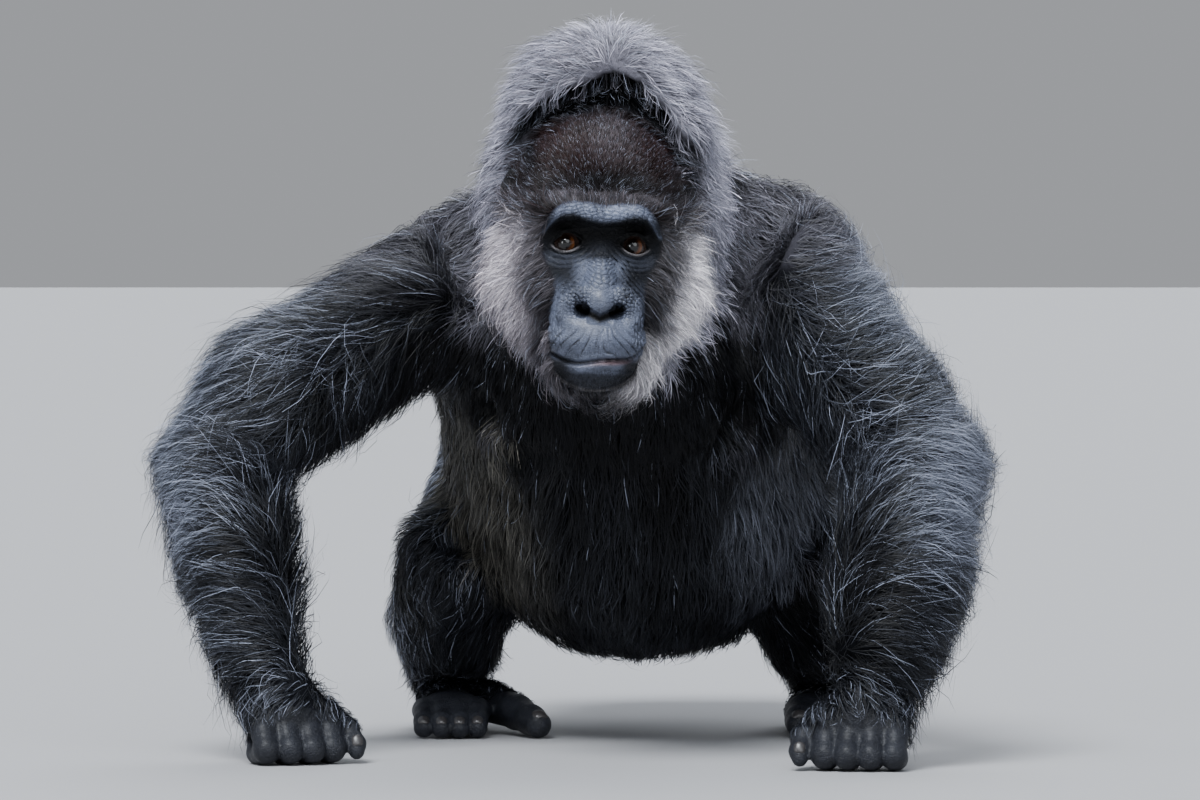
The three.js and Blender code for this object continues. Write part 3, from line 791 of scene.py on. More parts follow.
def driveAt(p, labels):
    v = np.zeros_like(p)
    q = inHead(p)

    def give(chosen, *parts):
        for axis, part in enumerate(parts):
            v[chosen, axis] = part[chosen] if np.ndim(part) else part

    one = np.ones(len(p))
    lean = np.clip((p[:, 0] - trunkX) / 150, -1, 1)
    chest, belly, hips = (isPart(labels, n) for n in ("chest", "belly", "hips"))
    give(chest, 0.5 * lean, 0.2 + 0.5 * rise(p[:, 2], 480, 600), -one)
    give(belly, 0.35 * lean, 0.45 + 0.5 * rise(p[:, 2], 400, 520), -one)
    give(hips, 0.3 * lean, 0.8 * one, -one)
    crest = np.tanh((q[:, 0] - 7) / 22)
    falls = np.abs(crest)
    risen = 0.8 * (1 - falls) * rise(q[:, 2], 60, 120) - 0.85 * falls ** 2
    give(isPart(labels, "neck"), 0.75 * crest, 0.3 + 0.5 * (1 - falls), risen)
    fan = np.clip(q[:, 0] / 70, -1, 1)
    up = rise(q[:, 2], 22, 46)
    give(isPart(labels, *faceNodes), fan * (1.0 - 0.35 * up), 0.35 + 0.3 * up, 1.6 * up - 0.75)
    give(isPart(labels, "ear"), fan, 0.6, 0.3)
    reach = {
        "right": {"upper_arm": (-1, 0.35, -0.2, 0.1), "forearm": (-1, 0.35, -0.05, 0.5)},
        "left": {"upper_arm": (1, 0.3, -0.3, 0.45), "forearm": (1, 0.3, 0.15, 0.25)},
    }
    for side, sign in (("right", -1), ("left", 1)):
        for limb, (vx, vy, vz, twist) in reach[side].items():
            node = limb + "_" + side
            low, high = boxOf(node)
            mid = (low + high) / 2
            if limb == "upper_arm":
                start = (high[0] - 60 if side == "right" else low[0] + 60, mid[1] + 60, high[2] - 80)
                end = (low[0] + 70 if side == "right" else high[0] - 90, mid[1] - 60, low[2] + 60)
            else:
                start = (mid[0] + 25 * sign, mid[1] + 20, high[2] - 40)
                end = (mid[0] - 45 * sign, mid[1] - 40, low[2] + 10)
            s = across(p, start, end) * -sign  # 1 at the inner side, -1 at the outer
            chosen = labels == labelNames.index(node)
            inner = np.clip(s, -1, 1)
            z = vz + twist * inner * (1 if side == "right" or limb == "forearm" else -1.6)
            give(chosen, vx * (1 - 0.35 * np.abs(inner)), vy, z)
        hx, hy = hands[side]["heading"]
        give(labels == labelNames.index("hand_" + side), hx + 0.4 * sign, hy * 0.7, -0.9)
        give(labels == labelNames.index("thigh_" + side), 0.45 * sign * one, 0.35, -1)
        give(labels == labelNames.index("shin_" + side), 0.35 * sign * one, -0.1, -1)
        give(labels == labelNames.index("foot_" + side), 0.1 * sign * one, -0.9, -0.4)
    return unit(v)


driveBlock = np.zeros((len(coarsePoints), 3))
driveBlock[nearBody] = driveAt(coarsePoints[nearBody], coarseLabels[nearBody])
driveBlock = spread(driveBlock.reshape(*coarseShape, 3), known)
driveReader = reader(driveBlock.astype(np.float32), coarseLow, coarseStep)

# Markings and painted light and shade, the same for skin and coat

tint = {
    "black": (0.0030, 0.0031, 0.0042),
    "blueGrey": (0.07, 0.078, 0.10),
    "silver": (0.34, 0.375, 0.48),
    "lilac": (0.36, 0.35, 0.43),
    "paleLilac": (0.60, 0.59, 0.70),
    "darkRoot": (0.05, 0.045, 0.054),
    "forehead": (0.017, 0.0085, 0.0085),
    "foreheadTip": (0.15, 0.135, 0.155),
    "ruff": (0.70, 0.64, 0.70),
    "paleRuff": (0.98, 0.94, 0.98),
    "olive": (0.07, 0.066, 0.056),
    "flank": (0.13, 0.14, 0.175),
    "bare": (0.013, 0.0145, 0.020),
    "litSkin": (0.098, 0.114, 0.165),
    # near black, for painted shade: the eye sockets, under the brow, the nostrils and the mouth's line
    "socket": (0.0022, 0.0022, 0.003),
    "lip": (0.22, 0.13, 0.135),
    "paleRim": (0.14, 0.13, 0.135),
    "irisInner": (0.008, 0.003, 0.0012),
    "irisOuter": (0.042, 0.014, 0.004),
    "pupil": (0.002, 0.002, 0.002),
    "eyeDark": (0.010, 0.006, 0.005),
    "eyeWhite": (0.05, 0.03, 0.025),
}
tint = {k: np.array(v) for k, v in tint.items()}


def blend(a, b, t):
    return a + (b - a) * np.clip(t, 0, 1)[:, None]


def waver(p, scale, seed):  # slow, soft noise between -1 and 1
    k = np.random.default_rng(seed).normal(size=(6, 3)) / scale
    phase = np.random.default_rng(seed + 1).random(6) * 6.28
    return np.clip(np.sin(p @ k.T + phase).sum(1) / 3.0, -1, 1)


earShades = [(-70, 90, 8, 30), (86, 56, 9, 24)]  # the dark hollows before the ears: x, z, half width, half height


def markingsAndPaintedLightAt(p, labels, normals):
    q = inHead(p)
    x, y, z = q.T
    n = len(p)
    colour = np.tile(tint["black"], (n, 1))
    colour = blend(colour, tint["blueGrey"], 0.1 + 0.1 * waver(p, 45, 3))
    neck = isPart(labels, "neck")
    right = rise(x, -20, 90)
    hood = blend(np.tile(tint["lilac"], (n, 1)), tint["paleLilac"], 0.15 + 0.75 * right + 0.25 * waver(p, 30, 5))
    hood = blend(hood, tint["darkRoot"], 0.35 * rise(waver(p, 22, 7), 0.1, 0.9) * (1 - right))
    lowNeck = rise(-p[:, 2], -430, -330)
    # the hood turns black low on the neck, and darkens as painted shade where it faces down
    hood = blend(hood, tint["black"], np.maximum(lowNeck, rise(-normals[:, 2], 0.1, 0.7)))
    inGap, _ = archAt(q)
    # painted shadow: black under the hood's overhanging edge, on the hood hair, the forehead and the cheeks
    gapShadow = rise(inGap, -0.15, 0.12) * (1 - rise(inGap, 0.95, 1.12))
    gapShadow = gapShadow * (1 - rise(y, 70, 100)) * rise(z, 20, 45)
    hood = blend(hood, tint["black"], gapShadow)
    head = isPart(labels, *faceNodes)
    fore = np.tile(tint["forehead"], (n, 1)) * (0.5 + 1.0 * bump(z, 94, 26))[:, None]
    # painted sheen: a grey sheen down the middle of the forehead hair, and a painted highlight along its edge over the
    # brow
    crown = bump(x, 7, 20) * bump(z, 106, 24)
    fore = blend(fore, tint["foreheadTip"], 0.3 * crown + 0.06 * waver(p, 14, 9))
    fore = blend(fore, tint["foreheadTip"], 0.4 * bump(z, 40, 5))
    fore = blend(fore, tint["black"], 0.8 * bump(z, 58, 12) * (1 - rise(np.abs(x - 3), 14, 44)))
    fore = blend(fore, tint["black"], gapShadow)
    within = (1 - rise(inGap, -0.1, 0.1)) * (1 - rise(y, 70, 100)) * rise(z, 60, 80)
    colour = np.where(neck[:, None], hood + (fore - hood) * within[:, None], colour)
    side = rise(x, -30, 60)
    cheek = blend(np.tile(tint["ruff"] * 0.7, (n, 1)), tint["paleRuff"], side + 0.2 * waver(p, 26, 13))
    edge = np.abs(x) - np.interp(z, [-140, -60, 0, 40], [40, 52, 62, 66])
    edge = edge - 3 * rise(x, -20, 20)  # the dark rim is narrower on her right
    cheek = blend(cheek, tint["darkRoot"] * 0.6, 0.95 * (1 - rise(edge, -7, 10)) * rise(z, -128, -60))
    cheek = blend(cheek, tint["darkRoot"] * 1.5, 0.8 * rise(-z, 52, 100) * (1 - rise(x, -50, 5)))
    cheek = blend(cheek, tint["black"], 0.95 * rise(-z, 108, 134) * bump(x, 2, 44))
    cheek = blend(cheek, tint["black"], rise(y, 70, 120))
    up = rise(z - 0.12 * np.abs(x), 8, 26)
    cheek = blend(cheek, tint["black"] * 2, gapShadow)
    colour = np.where(head[:, None], cheek + (fore - cheek) * up[:, None], colour)
    # painted shade: black in the hollows before the ears, over the ears' own dark skin
    ears = [bump(np.hypot((x - aside) / wide, (z - up) / tall), 0, 1) for aside, up, wide, tall in earShades]
    colour = blend(colour, tint["black"], 0.95 * np.maximum(*ears) * (neck | head) * (1 - rise(y, 60, 100)))
    belly = isPart(labels, "belly")
    olive = rise(-normals[:, 0], 0.35, 0.8) * rise(-p[:, 2], -470, -380)
    colour = blend(colour, tint["olive"], olive * belly)
    flankSpot = bump(p[:, 2], 235, 80) * rise(normals[:, 0], 0.35, 0.75) * rise(-p[:, 1], -60, 60)
    colour = blend(colour, tint["flank"], 0.95 * flankSpot * belly)
    chest = isPart(labels, "chest") & (normals[:, 1] < 0)
    colour = blend(colour, tint["black"], 0.85 * chest)
    # painted sheen: lilac on the trunk and the shoulders where they face up, as light from above shows on the black
    # hair
    back = isPart(labels, "hips", "chest", "belly") & (normals[:, 2] > 0.1)
    colour = blend(colour, tint["lilac"], 0.22 * rise(normals[:, 2], 0.1, 0.7) * back)
    shoulderSheen = isPart(labels, "upper_arm") * rise(p[:, 2], 430, 560) * rise(normals[:, 2], 0.0, 0.6)
    colour = blend(colour, tint["lilac"], 0.3 * shoulderSheen)
    return np.clip(colour, 0, 1)


# An unwrap of the skin's own shape: one chart for each part seen from each of six sides


def skinCharts():
    a, b, c = (skinPoints[skinTriangles[:, i]] for i in range(3))
    n = np.cross(b - a, c - a)
    way = np.argmax(np.abs(n), axis=1)
    way = way * 2 + (n[np.arange(len(n)), way] < 0)
    chart = skinLabels[skinTriangles[:, 0]] * 6 + way
    flat = np.array([(1, 2), (1, 2), (0, 2), (0, 2), (0, 1), (0, 1)])[way]  # the two axes seen from each side
    uv = np.take_along_axis(skinPoints[skinTriangles], flat[:, None, :], axis=2)
    ids = np.unique(chart)
    lows, sizes = {}, {}
    for i in ids:
        corners = uv[chart == i].reshape(-1, 2)
        lows[i] = corners.min(0)
        sizes[i] = corners.max(0) - lows[i] + 12
    order = sorted(ids, key=lambda i: -sizes[i][1])
    scale = 1 / 3200.0
    while True:  # shelves of charts, the tallest first
        x = y = shelf = 0.0
        spots = {}
        for i in order:
            w, h = sizes[i] * scale
            if x + w > 1:
                x, y, shelf = 0.0, y + shelf, 0.0
            spots[i] = (x, y)
            x, shelf = x + w, max(shelf, h)
        if y + shelf <= 1:
            break
        scale *= 0.97
    low = np.zeros((max(ids) + 1, 2))
    spot = np.zeros((max(ids) + 1, 2))
    for i in ids:
        low[i], spot[i] = lows[i] - 6, spots[i]
    return (uv - low[chart][:, None]) * scale + spot[chart][:, None]


triangleUv = skinCharts()
a, b, c = (skinPoints[skinTriangles[:, i]] for i in range(3))
triangleArea = np.linalg.norm(np.cross(b - a, c - a), axis=1) / 2
skinBare = bareAt(skinPoints, skinLabels)
print("skin area, square metres:", round(triangleArea.sum() / 1e6, 3))

# The coat: thin locks that root in the skin and lie along it

# Each piece: the parts it grows on, how many locks, their segments, length and width in mm, how far the tips
# rise as a share of the coat's depth, how unruly they are, how much they gather, how their way turns from spot
# to spot, and how pale their roots stay under the painted shade deep in the coat. The head's pieces have their own
# share of silver hairs.
coatPlan = {
    "coatHood": dict(parts=["neck"], locks=39500, rows=3, length=22, width=0.66, tipRise=1.0, unruly=0.34,
                     gather=0.3, swirl=0.3, root=0.08, silver=0.3, stray=0.12),
    "coatForehead": dict(parts=["head"], locks=27000, rows=2, length=12, width=0.5, tipRise=0.7, unruly=0.3,
                         gather=0.3, swirl=0.15, root=0.15, silver=0.13, zone="forehead"),
    "coatRuff": dict(parts=faceNodes, locks=39500, rows=3, length=31, width=0.66, tipRise=1.0, unruly=0.28,
                     gather=0.35, swirl=0.2, root=0.6, silver=0.2, stray=0.12, zone="ruff"),
    "coatChest": dict(parts=["chest"], locks=24000, rows=3, length=36, width=1.0, tipRise=0.9, unruly=0.2,
                      gather=0.4, swirl=0.35, root=0.3),
    "coatBelly": dict(parts=["belly"], locks=29000, rows=3, length=42, width=1.15, tipRise=0.95, unruly=0.24,
                      gather=0.5, swirl=0.35, root=0.3),
    "coatHips": dict(parts=["hips"], locks=24500, rows=3, length=50, width=1.2, tipRise=1.0, unruly=0.22,
                     gather=0.5, swirl=0.35, root=0.3),
}
limbCoats = {
    "coatArm": dict(parts=["upper_arm", "forearm", "hand"], locks=27500, rows=4, length=74, width=0.95, tipRise=1.15,
                    unruly=0.3, gather=0.75, swirl=0.6, root=0.3, stray=0.14),
    "coatLeg": dict(parts=["thigh", "shin", "foot"], locks=24000, rows=3, length=44, width=1.1, tipRise=1.05,
                    unruly=0.32, gather=0.6, swirl=0.5, root=0.3),
}
for name, plan in limbCoats.items():
    for side in sides:
        coatPlan[name + side.capitalize()] = dict(plan, parts=[part + "_" + side for part in plan["parts"]])
coatPlan["whiskers"] = dict(parts=faceNodes, locks=2600, rows=2, length=6, width=0.26, tipRise=0.6, unruly=0.4,
                            gather=0.0, swirl=0.2, root=0.8, silver=0.06, zone="whiskers")
tuftPatch = 0.003  # of the OFBake map, round each root


def rootsFor(plan):
    chosen = np.isin(skinLabels, [labelNames.index(n) for n in plan["parts"]])
    x, _, z = inHead(skinPoints).T
    high = z - 0.25 * np.abs(x) > 20
    grows = 1 - skinBare
    if plan.get("zone") == "forehead":
        chosen &= high
    if plan.get("zone") == "ruff":
        chosen &= ~high
    if plan.get("zone") == "whiskers":  # a few on the chin, the upper lip and over the eyes
        chin = rise(-z, 114, 134) + 0.25 * rise(-z, 84, 96) + 0.35 * bump(z, 31, 6)
        grows = skinBare * chin * (np.abs(mouthLine(x) - z) > 7)
    weight = triangleArea * (chosen * grows)[skinTriangles].mean(1)
    pick = rng.choice(len(weight), plan["locks"], p=weight / weight.sum())
    u, v = rng.random((2, len(pick)))
    u, v = np.where(u + v > 1, 1 - u, u), np.where(u + v > 1, 1 - v, v)
    w = np.stack([1 - u - v, u, v], 1)
    mix = lambda values: (values[pick] * w[..., None]).sum(1)
    roots = mix(skinPoints[skinTriangles])
    return roots, mix(triangleUv), skinLabels[skinTriangles[pick, 0]], (skinBare[skinTriangles[pick]] * w).sum(1)


fullSpots = [(-66, 200, 26, 24, 0.8), (92, 190, 30, 34, 0.8), (112, 140, 20, 40, 0.5), (-108, 125, 24, 34, -0.45)]


def fullnessAt(x, z):  # where the hood's hair stands fuller or lies flatter: x, z, half width, half height, by how much
    spots = [(np.hypot((x - aside) / wide, (z - up) / tall), much) for aside, up, wide, tall, much in fullSpots]
    return sum(much * bump(away, 0, 1) for away, much in spots)


lockForm = {  # what all locks share: lengths in mm, spreads as a low and a high factor
    "leastDepth": 3.0, "bareShortens": 0.75, "shortHair": 0.35, "lengths": (0.65, 1.15), "heights": (0.5, 1.05),
    "rootDepth": 1.2, "hang": 0.9, "wave": 0.045, "widths": (0.7, 1.3), "fineWidth": 0.75, "silverWidth": 0.62,
    "gathers": ((70, 0.7, 45), (9, 1.0, 20)),  # wide locks first, then thin ones: how many join, strength, reach
    "floorGap": 0.8, "tipGap": 0.6,
}


def lockSizes(plan, roots, labels, bare):  # each lock's length, how high its tip stands, and how short hair it is
    count = len(roots)
    depth = np.maximum(depthAt(roots), lockForm["leastDepth"])
    shorten = 1 - lockForm["bareShortens"] * bare * (plan.get("zone") != "whiskers")
    small = np.where(isPart(labels, "hand", "foot"), lockForm["shortHair"], 1.0)
    small = np.where(isPart(labels, "head"), np.clip(depth / 20, lockForm["shortHair"], 1), small)
    q = inHead(roots)
    x, y, z = q.T
    inArch = (archAt(q)[0] < 1.05) & (y < 90) & (z > 60) & (np.abs(x) < 72)
    small = np.where(isPart(labels, "neck", "head") & inArch, lockForm["shortHair"], small)  # under the hood's edge
    stray = 1 + 0.5 * (rng.random(count) < plan.get("stray", 0.06))
    length = plan["length"] * shorten * small * rng.uniform(*lockForm["lengths"], count) * (0.6 + 0.4 * stray)
    tufty = 1 + 0.3 * waver(roots, 16, 91) + 0.2 * waver(roots, 7, 93)  # some locks stand prouder
    full = isPart(labels, "neck") * fullnessAt(x, z)
    length = length * (1 + full)
    tipHeight = np.minimum(depth * plan["tipRise"] * (1 + full), length * 0.75)
    return length, tipHeight * rng.uniform(*lockForm["heights"], count) * stray * tufty, small


def lockPaths(plan, roots, normals, length, tipHeight):  # points along each lock, and the skin's normals under them
    count, rows = len(roots), plan["rows"]
    unruly = rng.normal(size=(count, 3)) * plan["unruly"]
    centre = roots - normals * lockForm["rootDepth"]
    path, normalsAlong = [centre], [normals]
    turn = (plan["swirl"] * (0.75 * waver(roots, 42, 71) + 0.45 * waver(roots, 15, 73)))[:, None]
    for k in range(1, rows + 1):
        t = k / rows
        way = driveReader(centre) + unruly * (0.6 + 0.6 * t)
        n = normalsAlong[-1]
        hang = np.clip(-n[:, 2:3] - 0.1, 0, 1)
        way = way + np.cross(n, way) * turn + np.array([0, 0, -lockForm["hang"]]) * hang
        way = unit(way - (way * n).sum(1, keepdims=True) * n)
        centre = centre + way * (length / rows)[:, None]
        n = unit(slopeAt(centre))
        lift = tipHeight * (1 - (1 - t) ** 1.6) - heightAt(centre)
        centre = centre + n * np.clip(lift, -10, 14)[:, None]
        centre[:, 2] = np.maximum(centre[:, 2], lockForm["floorGap"])
        path.append(centre)
        normalsAlong.append(n)
    path = np.array(path)  # rows + 1, locks, 3
    wave = rng.normal(size=(count, 3)) * lockForm["wave"] * length[:, None]
    for crowd, strength, span in lockForm["gathers"]:
        leaders = rng.choice(count, max(2, count // crowd), replace=False)
        spots = path[-1] * 0.3 + path[0] * 0.7
        tree = kdtree.KDTree(len(leaders))
        for i in leaders:
            tree.insert(spots[i], int(i))
        tree.balance()
        nearest = np.array([tree.find(p)[1] for p in spots])
        pull = path[-1, nearest] - path[-1]
        close = bump(np.linalg.norm(pull, axis=1), 0, span) * plan["gather"] * strength * rng.uniform(0.4, 1.3, count)
        for k in range(1, rows + 1):
            path[k] += pull * (close * (k / rows) ** 1.7)[:, None]
    for k in range(1, rows + 1):
        path[k] += wave * math.sin(4.6 * k / rows)
    path[..., 2] = np.maximum(path[..., 2], lockForm["tipGap"])
    return path, normalsAlong


def lockTones(plan, roots, labels, normals):  # each lock's colour, whether it is silver, and its silver's colour
    count = len(roots)
    base = markingsAndPaintedLightAt(roots, labels, normals)
    if plan.get("zone") == "whiskers":
        base = base * 0 + tint["black"]
    shade = rng.lognormal(-0.1, 0.55, count)[:, None]
    # painted sheen: silver hairs crowd where the coat faces out and up, high on the arms and on the trunk's upper and
    # back side, where light from above shines on the black hair
    outward = unit(np.sign(roots[:, :1] - trunkX) * [0.8, 0, 0] + [0, -0.1, 0.6])
    sheenFacing = np.clip(0.5 + 0.5 * (normals * outward).sum(1), 0, 1) ** 2
    patchy = np.clip(1 + 0.9 * waver(roots, 38, 79), 0.1, 2)
    onTrunk = isPart(labels, "chest", "belly", "hips")
    sheenRearward = rise(0.7 * normals[:, 2] + 0.7 * normals[:, 1], -0.3, 0.5)
    low = np.where(isPart(labels, "forearm") & (roots[:, 0] > 0), 0.2, 0.55)
    aloftSheen = np.where(isPart(labels, "upper_arm", "forearm"), low + (1.3 - low) * rise(roots[:, 2], 150, 330), 1.0)
    silverAndSheenShare = 0.2 + 2.0 * sheenFacing * patchy * aloftSheen
    silverAndSheenShare = silverAt(roots) * np.where(onTrunk, silverAndSheenShare * (0.15 + 0.85 * sheenRearward), silverAndSheenShare)
    silver = (rng.random(count) < plan.get("silver", silverAndSheenShare))[:, None]
    silverTint = base * 0.3 + tint["silver"] * (0.12 + 1.5 * rng.random((count, 1)) ** 2)
    return base * shade, silver, silverTint


def lockMesh(name, faces, points, colours, uvs, shadeNormals):
    mesh = bpy.data.meshes.new(name)
    mesh.vertices.add(points.size // 3)
    mesh.vertices.foreach_set("co", (points.reshape(-1, 3) * 0.001).ravel())
    mesh.loops.add(faces.size)
    mesh.loops.foreach_set("vertex_index", faces.ravel().astype(np.int32))
    mesh.polygons.add(len(faces))
    mesh.polygons.foreach_set("loop_start", np.arange(0, faces.size, 3, dtype=np.int32))
    mesh.polygons.foreach_set("use_smooth", np.ones(len(faces), bool))
    mesh.update(calc_edges=True)
    paint(mesh, "marking", colours.reshape(-1, 3))
    layer = mesh.uv_layers.new(name="OFBake")
    layer.data.foreach_set("uv", uvs.reshape(-1, 2)[faces.ravel()].astype(np.float32).ravel())
    mesh.normals_split_custom_set_from_vertices(shadeNormals.reshape(-1, 3).astype(np.float32))
    return addObject(name, mesh)


def growLocks(name, plan):
    roots, uv, labels, bare = rootsFor(plan)
    count, rows = len(roots), plan["rows"]
    normals = unit(slopeAt(roots))
    length, tipHeight, small = lockSizes(plan, roots, labels, bare)
    path, normalsAlong = lockPaths(plan, roots, normals, length, tipHeight)
    base, silver, silverTint = lockTones(plan, roots, labels, normals)
    width = plan["width"] * np.where(small < 1, lockForm["fineWidth"], 1.0) * rng.uniform(*lockForm["widths"], count)
    width = width * np.where(silver[:, 0], lockForm["silverWidth"], 1.0)
    points, colours, shadeNormals, uvs = [], [], [], []
    roll = rng.normal(0, 0.5, count)[:, None]
    for k in range(rows + 1):
        t = k / rows
        along = unit(path[min(k + 1, rows)] - path[max(k - 1, 0)])
        n = normalsAlong[k]
        aside = unit(np.cross(along, n))
        aside = unit(aside * np.cos(roll) + np.cross(along, aside) * np.sin(roll))
        w = (width * (1 - t ** 1.8) * (0.75 + 0.25 * min(1, 3 * t)))[:, None] / 2
        # painted shade: each lock darkens towards its root, as the shade deep in the coat
        tone = base * (plan["root"] + (1.15 - plan["root"]) * t)
        tone = np.where(silver, tone * (1 - t ** 0.7) + silverTint * t ** 0.7, tone)
        broad = np.cross(aside, along)  # square to the blade's own face
        up = unit(n * 0.9 + broad * np.sign((broad * n).sum(1, keepdims=True)) * 0.6)
        for sign in ((-1, 1) if k < rows else (0,)):
            points.append(path[k] + aside * w * sign)
            colours.append(tone)
            shadeNormals.append(unit(up + aside * sign * 0.7))
            uvs.append(uv + np.array([sign * 0.5, t - 0.5]) * tuftPatch)
    perLock = 2 * rows + 1
    strip = []
    for k in range(rows - 1):
        strip += [(2 * k, 2 * k + 1, 2 * k + 3), (2 * k, 2 * k + 3, 2 * k + 2)]
    strip.append((2 * rows - 2, 2 * rows - 1, 2 * rows))
    faces = (np.arange(count)[:, None, None] * perLock + np.array(strip)[None]).reshape(-1, 3)
    print(name, "triangles:", len(faces))
    return lockMesh(name, faces, *[np.stack(each, 1) for each in (points, colours, uvs, shadeNormals)])


share = 1.0
coats = {}
for name, plan in coatPlan.items():
    plan["locks"] = int(plan["locks"] * share)
    coats[name] = growLocks(name, plan)

# The skin's markings with painted light and shade, and how bare it is

skinTone = markingsAndPaintedLightAt(skinPoints, skinLabels, skinNormals) * 0.4
mottle = 1 + 0.14 * waver(skinPoints, 9, 31) + 0.1 * waver(skinPoints, 3.5, 37)
q = inHead(skinPoints)
x, y, z = q.T
bareTone = tint["bare"] * mottle[:, None]
faceward = isPart(skinLabels, *faceNodes) & (y < 26)
lit = np.maximum.reduce([
    rise(z - browFoot(x), -3, 3),
    (1 - rise(np.abs(x), 12, 34)) * rise(-z, 10, 20),
    rise(-z, 28, 60) * (1 - rise(-z, 104, 116)),
    1.3 * bump(z - mouthLine(x), -6, 5) * (1 - rise(np.abs(x - 2), 16, 30)),
])
# painted shade: the eye sockets and a band under the brow go near black, partly the dark skin there and partly the
# shade under the brow
socket = np.maximum.reduce([1 - rise(np.hypot((x - s * 31) / 1.7, z - 9), 10, 19) for s in (-1, 1)])
bags = np.maximum(*[rise(eyeOpening(q, s), 2, 4) * (1 - rise(eyeOpening(q, s), 13, 19)) for s in (-1, 1)])
lit = np.maximum(lit, 0.2 * rise(-z, 6, 13) * bags)
faceTone = np.tile(tint["bare"] * 0.75, (len(q), 1))
faceTone = blend(faceTone, tint["litSkin"], np.minimum(lit, 1) * (1 - 0.8 * rise(-z, 123, 128)))
aboveBrow = z - browFoot(x)
faceTone = blend(faceTone, tint["socket"], np.maximum(socket, bump(z, 10, 9)) * (1 - rise(aboveBrow, -3, 2)))
relief = folds(q) / face["foldDepth"]
# painted shade: the skin darkens in the creases between its folds
faceTone = faceTone * (mottle * (0.25 + 0.75 * rise(relief, -0.6, 0.1)))[:, None]
# painted shade: near black inside the nostrils and along the mouth's line
nostrils = bump(z + 72 - 0.45 * np.abs(x), 0, 4.2) * (1 - rise(np.abs(x), 22, 27))
mouth = bump(z - mouthLine(x), 0.4, 1.4) * (1 - rise(np.abs(x), 42, 47))
faceTone = blend(faceTone, tint["socket"], 1.2 * nostrils + mouth)
# painted highlight on the brow band above its foot, turning to painted shade towards its outer ends
faceTone = faceTone * (1 + rise(aboveBrow, 0, 5) * (0.6 - 1.4 * rise(np.abs(x), 38, 55)))[:, None]
# painted highlight: a pale wet glint along the lower lids
lidWetGlint = np.maximum(*[bump(eyeOpening(q, s), 0.9, 0.9) for s in (-1, 1)]) * rise(-z, 1, 5)
faceTone = blend(faceTone, tint["paleRim"] * 1.6, 0.8 * lidWetGlint)
bareTone = np.where(faceward[:, None], faceTone, bareTone)
bareTone = np.where(isPart(skinLabels, "ear")[:, None], tint["black"] * 1.5, bareTone)
skinTone += (bareTone - skinTone) * skinBare[:, None]
onHead = isPart(skinLabels, *faceNodes) * (y < 20)
# painted highlight on the lower lip, in the lip's own pink
lip = bump(z - mouthLine(x), -2.6, 2.2) * bump(x, 12, 17) * (y < -20) * onHead
skinTone = blend(skinTone, tint["lip"], 0.75 * lip)
rim = bump(z - chinRim(x), 0.5, 1.6) * (z < -104) * (y < 0)
skinTone = blend(skinTone, tint["paleRim"], 0.9 * rim * onHead)
paint(skinMesh, "marking", np.clip(skinTone, 0, 1))
shine = 0.5 * np.clip(lit, 0, 1) * (1 - 0.7 * rise(-z, 122, 127)) * (1 - np.clip(nostrils, 0, 1))
shine = np.where(faceward, shine, 0.15) * skinBare * ~isPart(skinLabels, "ear")
shine = shine * (1 - 0.85 * rise(z, 0, 8) * rise(np.abs(x), 38, 54))
paint(skinMesh, "shine", shine[:, None])

# The eyes: dark globes with an amber-brown iris painted on a glossy bulge

eyePlan = {
    "radius": 12.3,
    "bulge": 1.25,  # of the front over the globe
    "bulgeEdge": (2.0, 9.6),  # from where to where it dies away
    "iris": 8.3,
    "pupil": 4.6,
    "gaze": (-0.12, -1.0, -0.03),
    "turns": 64,
}


